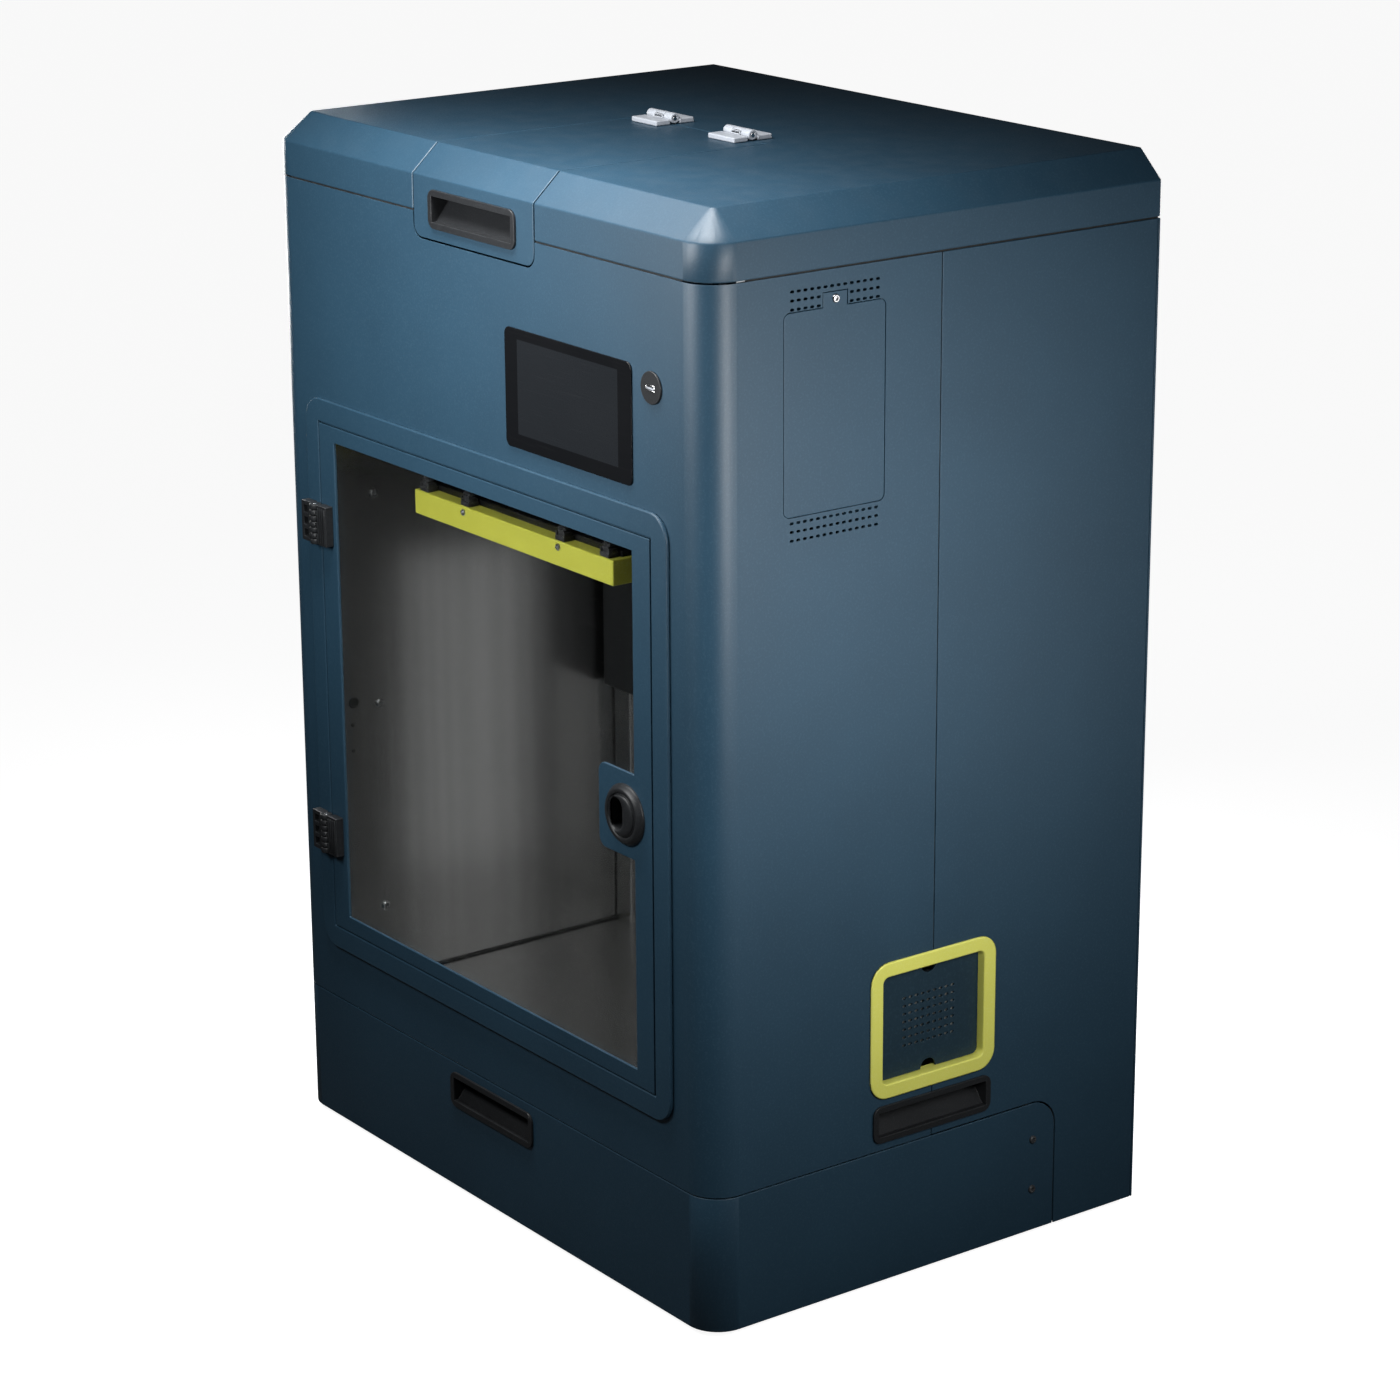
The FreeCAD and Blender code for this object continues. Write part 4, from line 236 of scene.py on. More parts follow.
def bare_metal(name, bright, dull, rough, stretch, wear=0.25, relief=0.2, vary=0.1):
    """Brushed or ground metal: streaks along the grain, dull patches, bright edges."""
    material, tree, shader = new_finish(name)
    brushed = lay(tree, BRUSHING, Stretch=stretch)
    cloud = lay(tree, SOFT_CLOUD, Scale=5.0)["Cloud"]
    edge = lay(tree, EDGE_WEAR, Radius=0.001)["Edge"]
    colour = blend_tone(tree, brushed["Streak"], dull, bright)
    colour = blend_tone(tree, times(tree, cloud, 0.35), colour, dull)
    colour = blend_tone(tree, times(tree, edge, wear), colour, RUBBED_METAL)
    tree.links.new(colour, shader.inputs["Base Color"])
    both = times(tree, brushed["Height"], spread(tree, cloud, 0.0, 1.0, 0.8, 1.2))
    tree.links.new(spread(tree, both, 0.25, 0.75, rough - vary, rough + vary), shader.inputs["Roughness"])
    shader.inputs["Metallic"].default_value = 1.0
    raise_grain(tree, shader, brushed["Height"], relief, BRUSH_DEPTH)
    return material


def clear_sheet(name, tint, rough):
    """Clear glass that lets the light through, with faint wipe marks."""
    material, tree, shader = new_finish(name)
    scratch = lay(tree, HAIRLINES)["Scratch"]
    cloud = lay(tree, SOFT_CLOUD, Scale=9.0)["Cloud"]
    colour = blend_tone(tree, times(tree, cloud, 0.3), tint, (0.86, 0.9, 0.9))
    tree.links.new(colour, shader.inputs["Base Color"])
    tree.links.new(spread(tree, scratch, 0.0, 1.0, rough, rough + 0.1), shader.inputs["Roughness"])
    shader.inputs["Transmission Weight"].default_value = 1.0
    shader.inputs["IOR"].default_value = 1.3
    through = place(tree, "BsdfTransparent", {"Color": (0.94, 0.96, 0.96, 1.0)})
    lamp = place(tree, "LightPath").outputs["Is Shadow Ray"]
    both = place(tree, "MixShader", {0: lamp, 1: shader.outputs[0], 2: through.outputs[0]})
    tree.links.new(both.outputs[0], tree.nodes["Material Output"].inputs["Surface"])
    return material


def screen_cover(name, middle, half):
    """Black cover glass; the picture area under it is a little lighter and has a fine dot pattern."""
    material, tree, shader = new_finish(name)
    spot = place(tree, "SeparateXYZ", {0: place(tree, "TexCoord").outputs["Object"]}).outputs
    inside = None
    soft = 0.0003       # half the width of the picture area's edge
    for axis, centre, reach in (("X", middle[0], half[0]), ("Z", middle[1], half[1])):
        away = place(tree, "Math", {0: spot[axis], 1: centre}, operation="SUBTRACT").outputs[0]
        away = place(tree, "Math", {0: away}, operation="ABSOLUTE").outputs[0]
        within = spread(tree, away, reach + soft, reach - soft)
        inside = within if inside is None else times(tree, inside, within)
    dots = lay(tree, FINE_GRAIN, Scale=1500.0)
    cloud = lay(tree, SOFT_CLOUD, Scale=10.0)["Cloud"]
    scratch = lay(tree, HAIRLINES)["Scratch"]
    area = blend_tone(tree, dots["Height"], (0.0105, 0.012, 0.0142), (0.0135, 0.0155, 0.018))
    colour = blend_tone(tree, inside, (0.0055, 0.006, 0.007), area)
    colour = blend_tone(tree, times(tree, scratch, 0.006), colour, (0.3, 0.3, 0.3))
    tree.links.new(colour, shader.inputs["Base Color"])
    tree.links.new(spread(tree, cloud, 0.0, 1.0, 0.16, 0.28), shader.inputs["Roughness"])
    shader.inputs["Specular IOR Level"].default_value = 0.2
    return material


def pleated_felt(name):
    """Filter felt: fuzzy fibres, darker in soft patches."""
    material, tree, shader = new_finish(name)
    fibre = lay(tree, BRUSHING, Stretch=(900.0, 900.0, 120.0))
    cloud = lay(tree, SOFT_CLOUD, Scale=25.0)["Cloud"]
    colour = blend_tone(tree, fibre["Streak"], (0.2, 0.21, 0.2), (0.4, 0.41, 0.39))
    colour = blend_tone(tree, times(tree, cloud, 0.4), colour, (0.14, 0.14, 0.13))
    tree.links.new(colour, shader.inputs["Base Color"])
    tree.links.new(spread(tree, fibre["Height"], 0.2, 0.8, 0.85, 1.0), shader.inputs["Roughness"])
    raise_grain(tree, shader, fibre["Height"], 0.6, 0.0005)
    return material


def laminate(name):
    """Board laminate with copper runs under the green lacquer."""
    material, tree, shader = new_finish(name)
    spot = place(tree, "TexCoord").outputs["Object"]
    tracks = place(tree, "TexBrick", {"Vector": spot, "Scale": 160.0, "Mortar Size": 0.06,
                                      "Color1": (0.0, 0.0, 0.0, 1.0), "Color2": (0.25, 0.25, 0.25, 1.0),
                                      "Mortar": WHITE})
    grain = lay(tree, FINE_GRAIN, Scale=1200.0)
    copper = times(tree, tracks.outputs["Color"], 0.6)
    colour = blend_tone(tree, copper, (0.012, 0.075, 0.035), (0.06, 0.17, 0.07))
    tree.links.new(colour, shader.inputs["Base Color"])
    tree.links.new(spread(tree, grain["Height"], *NOISE_MIDDLE, 0.28, 0.42), shader.inputs["Roughness"])
    raise_grain(tree, shader, tracks.outputs["Fac"], 0.3, 0.0002)
    return material


# Colours run from the main tone to the shade or dull tone; a coat's third tone shows at rubbed edges
FINISH = {
    "powder_blue": coat("Petrol powder coat", (0.018, 0.053, 0.088), (0.0155, 0.046, 0.077), (0.06, 0.12, 0.17),
                        0.45, grain=1100.0, depth=0.00025, wear=0.4, dust=0.02, sheen=0.45),
    "stainless": bare_metal("Brushed stainless", (0.55, 0.545, 0.54), (0.5, 0.497, 0.493), 0.23,
                            (420.0, 420.0, 2.0), relief=0.006, vary=0.012),
    "zinc_steel": bare_metal("Zinc plate", (0.6, 0.61, 0.62), (0.42, 0.43, 0.45), 0.4, (90.0, 90.0, 60.0)),
    "bright_steel": bare_metal("Ground steel", (0.78, 0.78, 0.79), (0.5, 0.5, 0.51), 0.22, (700.0, 700.0, 700.0)),
    "black_screw": coat("Blackened screw", (0.03, 0.035, 0.04), (0.02, 0.022, 0.026), (0.2, 0.2, 0.2), 0.38,
                        wear=0.6),
    "lime_paint": coat("Satin lime paint", (0.34, 0.33, 0.038), (0.31, 0.3, 0.034), (0.6, 0.59, 0.22), 0.36,
                       grain=1300.0, depth=0.00012, wear=0.25, dust=0.02),
    "perforated_grey": coat("Dark sheet coat", (0.014, 0.036, 0.055), (0.011, 0.03, 0.047), (0.05, 0.1, 0.14), 0.45),
    "black_plastic": coat("Moulded black", (0.017, 0.0183, 0.0203), (0.013, 0.0141, 0.0156), (0.07, 0.075, 0.08),
                          0.38, grain=1600.0, depth=0.00015, wear=0.3, dust=0.02),
    "pale_plastic": coat("Pale casting", (0.5, 0.53, 0.58), (0.43, 0.46, 0.51), (0.75, 0.77, 0.8), 0.38,
                         grain=700.0, depth=0.00015, wear=0.2, dust=0.03),
    "rubber_black": coat("Matt rubber", (0.018, 0.018, 0.018), (0.012, 0.012, 0.012), (0.06, 0.06, 0.06), 0.75,
                         grain=500.0, depth=0.0004),
    "clear_glass": clear_sheet("Door glass", (0.97, 0.99, 0.99), 0.02),
    "screen_glass": screen_cover("Display cover glass", (0.147, 0.8316), (0.077, 0.0432)),
    "black_paint": coat("Heater black", (0.008, 0.0085, 0.009), (0.006, 0.0064, 0.007), (0.05, 0.05, 0.05), 0.5),
    "filter_media": pleated_felt("Filter felt"),
    "aluminium": bare_metal("Anodised aluminium", (0.72, 0.73, 0.74), (0.58, 0.59, 0.6), 0.34, (300.0, 8.0, 300.0)),
    "brass": bare_metal("Turned brass", (0.7, 0.5, 0.22), (0.5, 0.34, 0.13), 0.28, (500.0, 500.0, 900.0)),
    "motor_black": coat("Motor enamel", (0.025, 0.025, 0.027), (0.016, 0.016, 0.018), (0.14, 0.14, 0.14), 0.36),
    "clamp_black": coat("Clamp black", (0.016, 0.016, 0.018), (0.011, 0.011, 0.012), (0.12, 0.12, 0.12), 0.35),
    "board_green": laminate("Board laminate"),
}

# Pieces whose finish differs from the rest of their slot
OWN_FINISH = {
    # The ring's lime is the bar's paint at more than twice its tone: painted light, as little lamp light reaches the
    # ring.
    "filter_ring": coat("Lime ring with painted light", (0.82, 0.82, 0.17), (0.76, 0.76, 0.15), (0.9, 0.9, 0.5), 0.34,
                        grain=1300.0, depth=0.00012, wear=0.2, dust=0.02),
    "heated_plate": bare_metal("Dark anodised plate", (0.05, 0.05, 0.053), (0.03, 0.03, 0.033), 0.4,
                               (300.0, 8.0, 300.0)),
}

# Which built pieces have which finish
SLOT_NODES = {
    "powder_blue": "front_shell side_panels back_panel lid hatch_panel drawer_skirt door_surround door_leaf "
                   "service_cover base_pan",
    "stainless": "chamber_walls chamber_floor heater_duct gantry_deck",
    "zinc_steel": "inner_frame drawer_rails drawer_tray drawer_slides bed_carriage power_supply filter_housing",
    "bright_steel": "hinge_pins guide_rails",
    "lime_paint": "bed_frame filter_ring",
    "perforated_grey": "filter_plate",
    "black_plastic": "drawer_pull hatch_pull lift_pulls latch_knob door_hinge_bases door_hinge_arms data_socket "
                     "mains_inlet power_rocker fan_rotor print_head",
    "pale_plastic": "hatch_hinge_leaves lid_hinge_leaves",
    "rubber_black": "levelling_feet door_seal gantry_belts",
    "clear_glass": "door_glass build_plate",
    "screen_glass": "touch_display",
    "black_paint": "chamber_heater",
    "aluminium": "heated_plate gantry_trucks cross_beam lift_runners",
    "motor_black": "axis_motors cross_drive",
}

# Edge rounding of the built pieces, in millimetres; every other piece gets the plain one
PLAIN_EDGE = 0.5
PIERCED = ("front_shell",)      # a thin sheet with rows of slots keeps its cut edges
CREASES = {"lid": 18.0, "hatch_panel": 18.0}    # degrees; the lid's slopes meet at shallow edges
EDGES = {
    "lid": 1.2, "hatch_panel": 0.9, "drawer_skirt": 0.7, "door_surround": 1.2, "door_leaf": 0.8, "filter_ring": 1.7,
    "latch_knob": 0.9, "door_hinge_bases": 0.7, "door_hinge_arms": 0.9, "hatch_hinge_leaves": 1.3,
    "lid_hinge_leaves": 1.3, "bed_frame": 1.6, "chamber_heater": 2.0, "heater_duct": 2.0, "print_head": 1.4,
    "levelling_feet": 1.5, "filter_plate": 0.25, "back_panel": 0.4, "touch_display": 0.6, "data_socket": 0.6,
    "axis_motors": 1.2, "cross_drive": 0.8, "door_glass": 0.4, "chamber_walls": 0.3, "fan_rotor": 0.4,
    "mains_inlet": 0.6,
}


def soften_edges(item, width, crease):
    """Clean the built mesh and round its sharp edges, so that they catch the light."""
    weld = item.modifiers.new("Close seams", "WELD")
    weld.merge_threshold = 0.00001
    flat = item.modifiers.new("Whole faces", "DECIMATE")
    flat.decimate_type = "DISSOLVE"
    flat.angle_limit = math.radians(0.4)
    edge = item.modifiers.new("Rounded edges", "BEVEL")
    edge.width = width * MM
    edge.segments = 2
    edge.limit_method = "ANGLE"
    edge.angle_limit = math.radians(crease)
    edge.use_clamp_overlap = False
    edge.harden_normals = True


def finish_built_pieces():
    for slot, names in SLOT_NODES.items():
        for name in names.split():
            item = nodes[name]
            item.data.materials.clear()
            item.data.materials.append(OWN_FINISH.get(name, FINISH[slot]))
            if name not in PIERCED:
                soften_edges(item, EDGES.get(name, PLAIN_EDGE), CREASES.get(name, PLAIN_CREASE))


# Small fittings made here

def spin(mesh, rings, centre, along, count=32, loop=False):
    """Turn rings of (radius, height) round an axis; a radius may change with the angle."""
    turn = Vector(along).to_track_quat("Z", "Y").to_matrix()
    rows = []
    for radius, height in rings:
        steps = 1 if radius == 0 else count
        row = []
        for step in range(steps):
            angle = 2 * math.pi * step / count
            reach = radius(angle) if callable(radius) else radius
            spot = Vector((reach * math.cos(angle), reach * math.sin(angle), height))
            row.append(mesh.verts.new((Vector(centre) + turn @ spot) * MM))
        rows.append(row)
    pairs = list(zip(rows, rows[1:])) + ([(rows[-1], rows[0])] if loop else [])
    for low, high in pairs:
        for step in range(count):
            after = (step + 1) % count
            corners = [low[step % len(low)], low[after % len(low)], high[after % len(high)], high[step % len(high)]]
            corners = list(dict.fromkeys(corners))
            if len(corners) > 2:
                mesh.faces.new(corners)


def add_bar(mesh, low, high, edge, turn=None, about=None):
    """A bar between two corners with rounded edges, turned about a point if asked."""
    made = bmesh.ops.create_cube(mesh, size=1.0)["verts"]
    low, high = Vector(low) * MM, Vector(high) * MM
    for vert in made:
        vert.co = Vector((l + (c + 0.5) * (h - l) for l, c, h in zip(low, vert.co, high)))
    edges = list(dict.fromkeys(line for vert in made for line in vert.link_edges))
    grown = bmesh.ops.bevel(mesh, geom=edges, offset=edge * MM, segments=2, affect="EDGES", profile=0.5)
    if turn is not None:
        spots = list(dict.fromkeys(vert for face in grown["faces"] for vert in face.verts))
        bmesh.ops.rotate(mesh, cent=Vector(about) * MM, matrix=turn, verts=spots)


def finished_piece(name, mesh, slot, body, sharp=PLAIN_CREASE):
    """Make an object of a mesh, give it its finish and let it ride on its body."""
    bmesh.ops.recalc_face_normals(mesh, faces=mesh.faces)
    data = bpy.data.meshes.new(name)
    mesh.to_mesh(data)
    mesh.free()
    data.shade_smooth()
    data.set_sharp_from_angle(angle=math.radians(sharp))
    data.materials.append(FINISH[slot])
    item = bpy.data.objects.new(name, data)
    bpy.context.scene.collection.objects.link(item)
    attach(item, body)
    return item


def hexagon(radius):
    """Radius of a hexagon at an angle, for socket recesses."""
    return lambda angle: radius * math.cos(math.pi / 6) / math.cos((angle % (math.pi / 3)) - math.pi / 6)


def add_screw(mesh, centre, along, radius, height):
    """A button head with a socket recess."""
    rings = [(radius, 0.0), (radius, height * 0.35), (radius * 0.93, height * 0.72), (radius * 0.74, height),
             (hexagon(radius * 0.56), height), (hexagon(radius * 0.52), height * 0.9),
             (hexagon(radius * 0.52), height * 0.3), (0, height * 0.24)]
    spin(mesh, rings, centre, along, 36)


def make_screws():
    """Wall studs, and the screws of the service cover, the drawer's wings, the bed and the back panel."""
    studs, wing, bed, back = bmesh.new(), bmesh.new(), bmesh.new(), bmesh.new()
    add_screw(studs, (SIDE, -111.05, 940.0), (1, 0, 0), *PANEL_SCREW)
    for way in (1, -1):
        for level in (220.0, 435.0, 651.0):
            add_screw(studs, (way * CHAMBER_SIDE, -183.05, level), (-way, 0, 0), *WALL_STUD)
        for level in (49.0, 100.0):
            add_screw(wing, (way * SIDE, 131.95, level), (way, 0, 0), *PANEL_SCREW)
        add_screw(bed, (way * 78.0, -212.05, 679.5), (0, -1, 0), *BAR_SCREW)
        for level in (40.0, 300.0, 560.0, 820.0, 945.0):
            add_screw(back, (way * 338.0, BACK, level), (0, 1, 0), *PANEL_SCREW)
        add_screw(back, (way * 150.0, BACK, 945.0), (0, 1, 0), *PANEL_SCREW)
    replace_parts(finished_piece("wall_studs", studs, "bright_steel", "cabinet"), "cabinet_screws")
    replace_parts(finished_piece("wing_screw_heads", wing, "black_screw", "drawer"), "wing_screws")
    finished_piece("bed_bar_screws", bed, "bright_steel", "bed")
    finished_piece("back_panel_screws", back, "black_screw", "cabinet")


def make_latch_ring():
    """Sloped ring that the latch knob turns in."""
    mesh = bmesh.new()
    rings = [(28.5, 0.0), (28.5, 1.4), (28.1, 2.2), (24.9, 5.5), (24.0, 5.95), (21.8, 5.95), (21.0, 5.6),
             (20.4, 4.8), (20.3, 0.0)]
    spin(mesh, rings, (LATCH[0], FACE, LATCH[1]), (0, -1, 0), 64, loop=True)
    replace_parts(finished_piece("latch_ring", mesh, "black_plastic", "door", 50.0), "latch_bezel")


def make_hinge_ribs():
    """Upright ribs on the moving halves of the door hinges."""
    mesh = bmesh.new()
    half = 17.5
    for centre in (635.0, 317.0):
        for step in range(4):
            x = -264.4 + 3.6 * step
            add_bar(mesh, (x, FACE - 10.0, centre - half), (x + 1.8, FACE - 8.7, centre + half), 0.4)
    finished_piece("hinge_ribs", mesh, "black_plastic", "door")


def make_socket_shell():
    """Plated shell and pale tongue of the data socket."""
    shell, tongue = bmesh.new(), bmesh.new()
    x, z = 273.0, 867.6
    wide, tall, wall = 6.4, 2.75, 0.9       # half width, half height, thickness
    near, far = CABINET_FRONT - 2.6, CABINET_FRONT + 9.0
    for low, high in (((x - wide, near, z - tall), (x + wide, far, z - tall + wall)),
                      ((x - wide, near, z + tall - wall), (x + wide, far, z + tall)),
                      ((x - wide, near, z - tall + wall), (x - wide + wall, far, z + tall - wall)),
                      ((x + wide - wall, near, z - tall + wall), (x + wide, far, z + tall - wall))):
        add_bar(shell, low, high, 0.2)
    add_bar(tongue, (x - 4.8, near + 0.9, z - 1.3), (x + 4.8, far, z + 0.1), 0.2)
    finished_piece("socket_shell", shell, "bright_steel", "cabinet")
    finished_piece("socket_tongue", tongue, "pale_plastic", "cabinet")


def make_knob_lip():
    """Raised, rounded lip round the finger hole of the latch knob."""
    mesh = bmesh.new()
    count, face = 72, -257.35
    x, z = LATCH

    def circle(reach):
        return lambda angle: (reach * math.cos(angle), reach * math.sin(angle))

    def hole(grow):
        half, straight, aside = 9.5 + grow, 5.5, -7.0
        return lambda angle: (aside + half * math.cos(angle),
                              half * math.sin(angle) + math.copysign(straight, math.sin(angle)))

    def between(share):
        first, second = circle(18.2), hole(1.2)
        return lambda angle: tuple(a + (b - a) * share for a, b in zip(first(angle), second(angle)))

    steps = ((circle(18.8), -0.2), (circle(18.6), 0.5), (circle(18.2), 0.9), (between(0.4), 1.5),
             (between(0.75), 1.6), (hole(1.2), 1.4), (hole(0.4), 0.8), (hole(0.05), -0.2), (hole(-0.3), -3.0),
             (hole(0.05), -3.2))
    rows = []
    for outline, height in steps:
        row = []
        for step in range(count):
            across, up = outline(2 * math.pi * (step + 0.5) / count)
            row.append(mesh.verts.new(Vector((x + across, face - height, z + up)) * MM))
        rows.append(row)
    for low, high in zip(rows, rows[1:]):
        for step in range(count):
            after = (step + 1) % count
            mesh.faces.new((low[step], low[after], high[after], high[step]))
    finished_piece("knob_lip", mesh, "black_plastic", "latch", 55.0)


def make_seam_shade_strips():
    """Black strips in the seams under the lid, beside the front shell and behind the drawer's wings: painted shade
    that keeps the gaps dark, and under the lid a foam gasket as well.
    """
    mesh = bmesh.new()
    low, high = LID_SEAM
    edge = 0.15
    for way in (1, -1):
        inside, outside = sorted((way * 348.0, way * 348.9))
        add_bar(mesh, (inside, -206.0, low), (outside, 259.8, high), edge)
        add_bar(mesh, (inside, 6.3, 323.0), (outside, 7.6, 965.6), edge)
        inside, outside = sorted((way * 346.2, way * 347.9))
        add_bar(mesh, (inside, 155.0, 7.0), (outside, 168.0, 134.0), 0.3)
        left, right = sorted((way * 99.0, way * 316.0))     # clear of the hatch's tab
        add_bar(mesh, (left, -247.1, low), (right, -246.1, high), edge)
    add_bar(mesh, (-347.0, 260.0, low), (347.0, 260.9, high), edge)
    finished_piece("seam_shade_strips", mesh, "rubber_black", "cabinet")


def make_wall_port():
    """Grommet of the small port in the left wall, with two plugs under it."""
    mesh = bmesh.new()
    spin(mesh, [(5.6, -0.1), (5.6, 0.5), (5.2, 0.9), (4.4, 0.9), (4.0, 0.5), (4.0, 0.15), (0, 0.15)],
         (-CHAMBER_SIDE, -213.0, 441.0), (1, 0, 0), 32)
    for level in (418.0, 391.0):
        spin(mesh, [(1.9, -0.1), (1.9, 0.3), (1.3, 0.6), (0, 0.7)], (-CHAMBER_SIDE, -215.0, level), (1, 0, 0), 20)
    finished_piece("wall_port", mesh, "rubber_black", "cabinet")


def make_clamps():
    """Four plate clamps on the bar: a foot, a sprung finger on the glass, and a knurled thumb nut."""
    feet, nuts = bmesh.new(), bmesh.new()

    def knurl(angle):
        return 4.5 + 0.28 * math.cos(20 * angle)

    for x in (-148.0, -78.0, 78.0, 148.0):
        add_bar(feet, (x - 7, -211.0, 685.0), (x + 7, -198.6, 689.5), 0.8)
        add_bar(feet, (x - 4.5, -209.5, 689.0), (x + 4.5, -200.0, 695.4), 0.8)
        add_bar(feet, (x - 6, -208.5, 695.2), (x + 6, -194.2, 697.6), 0.7)
        for side in (-1, 1):
            add_bar(feet, (x + side * 6.0 - 1.0, -210.5, 688.5), (x + side * 6.0 + 1.0, -200.5, 693.5), 0.5)
        spin(nuts, [(0, 697.4), (3.4, 697.4), (knurl, 698.2), (knurl, 703.2), (3.9, 704.2), (2.4, 704.6),
                    (2.2, 703.6), (0, 703.6)], (x, -204.5, 0), (0, 0, 1), 80)
    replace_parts(finished_piece("clamp_feet", feet, "clamp_black", "bed"), "bed_clamps")
    finished_piece("clamp_nuts", nuts, "clamp_black", "bed")


def make_lead_thread():
    """Lead screw with a four-start thread, 20 mm a turn."""
    mesh = bmesh.new()
    low, high, middle = 142.1, 743.7, (0.0, 113.45)
    starts, lead = 4, 20.0
    crest, depth, journal = 5.95, 0.9, 5.6      # radii of the thread's crest and the plain ends; depth of the thread
    around_count, row_height = 28, 0.9
    rows = int((high - low) / row_height)

    def tooth(angle, height):
        phase = (starts * (height / lead - angle / (2 * math.pi))) % 1.0
        slope = min(abs(phase - 0.5) * 4.0, 1.5) - 0.5
        return crest - depth * min(max(slope, 0.0), 1.0)

    grid = []
    for row in range(rows + 1):
        height = low + (high - low) * row / rows
        plain = height < low + 12 or height > high - 6
        ring = []
        for step in range(around_count):
            angle = 2 * math.pi * step / around_count
            reach = journal if plain else tooth(angle, height)
            spot = (middle[0] + reach * math.cos(angle), middle[1] + reach * math.sin(angle), height)
            ring.append(mesh.verts.new(Vector(spot) * MM))
        grid.append(ring)
    for below, above in zip(grid, grid[1:]):
        for step in range(around_count):
            after = (step + 1) % around_count
            mesh.faces.new((below[step], below[after], above[after], above[step]))
    mesh.faces.new(grid[0][::-1])
    mesh.faces.new(grid[-1])
    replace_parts(finished_piece("lead_thread", mesh, "bright_steel", "lead", 60.0), "lead_screw")


def make_hot_ends():
    """Finned heat sinks, heater blocks and brass nozzles under the head."""
    sinks, tips = bmesh.new(), bmesh.new()
    for x in (-18.0, 18.0):
        rings = [(0, 714.0), (4.0, 714.0), (4.0, 717.0)]
        for fin in range(9):
            height = 717.0 + 3.2 * fin
            rings += [(9.8, height), (9.8, height + 1.2), (6.0, height + 1.2), (6.0, height + 3.2)]
        rings += [(8.5, 745.8), (8.5, 747.0), (0, 747.0)]
        spin(sinks, rings, (x, HOT_END_Y, 0), (0, 0, 1), 40)
        add_bar(sinks, (x - 9, -112.2, 702.2), (x + 9, -94.2, 714.0), 0.8)
        spin(tips, [(0, 702.4), (hexagon(4.6), 702.4), (hexagon(4.6), 699.8), (3.2, 699.4), (0.9, 697.1),
                    (0.35, 697.1), (0.35, 698.5), (0, 698.5)], (x, HOT_END_Y, 0), (0, 0, 1), 36)
    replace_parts(finished_piece("heat_sinks", sinks, "aluminium", "head"), "hot_ends")
    finished_piece("nozzles", tips, "brass", "head")


def make_head_fan():
    """Guard ring and spokes of the cooling fan on the front of the print head."""
    mesh = bmesh.new()
    face, middle = -138.2, 806.0
    for inner, outer in ((30.5, 33.0), (20.0, 21.6), (9.0, 11.0)):
        rings = [(outer, -0.2), (outer, 1.6), (outer - 0.5, 2.1), (inner + 0.5, 2.1), (inner, 1.6), (inner, -0.2)]
        spin(mesh, rings, (0, face, middle), (0, -1, 0), 56, loop=True)
    for step in range(6):
        turn = Matrix.Rotation(math.pi * step / 3, 3, "Y")
        add_bar(mesh, (10.0, face - 1.7, middle - 1.0), (31.5, face + 0.2, middle + 1.0), 0.4, turn,
                (0, face, middle))
    finished_piece("head_fan_guard", mesh, "motor_black", "head")


def make_filter_pack():
    """Folded felt in a moulded edge frame."""
    felt, rim = bmesh.new(), bmesh.new()
    near, far = 320.0, 342.0
    left, right = -51.2, 65.1
    low, high = 213.4, 296.6
    folds, wall = 36, 3.0
    crest, valley = 0.8, 5.0        # how far the folds' crests and valleys lie behind the frame's face
    fronts, backs = [], []
    for step in range(folds + 1):
        y = left + wall + (right - left - 2 * wall) * step / folds
        fronts.append((far - (valley if step % 2 else crest), y))
        backs.append((near + (crest if step % 2 else valley), y))
    rows = []
    for height in (low + wall, high - wall):
        rows.append([[felt.verts.new(Vector((x, y, height)) * MM) for x, y in line]
                     for line in (fronts, backs)])
    (front_low, back_low), (front_high, back_high) = rows
    for step in range(folds):
        for a, b in ((front_low, front_high), (back_low, back_high), (front_low, back_low),
                     (front_high, back_high)):
            felt.faces.new((a[step], a[step + 1], b[step + 1], b[step]))
    for end in (0, folds):
        felt.faces.new((front_low[end], back_low[end], back_high[end], front_high[end]))
    for bar in (((near, left, low), (far, right, low + wall)), ((near, left, high - wall), (far, right, high)),
                ((near, left, low + wall), (far, left + wall, high - wall)),
                ((near, right - wall, low + wall), (far, right, high - wall))):
        add_bar(rim, *bar, 0.6)
    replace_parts(finished_piece("folded_felt", felt, "filter_media", "filter", 20.0), "filter_cartridge")
    finished_piece("felt_rim", rim, "black_plastic", "filter")


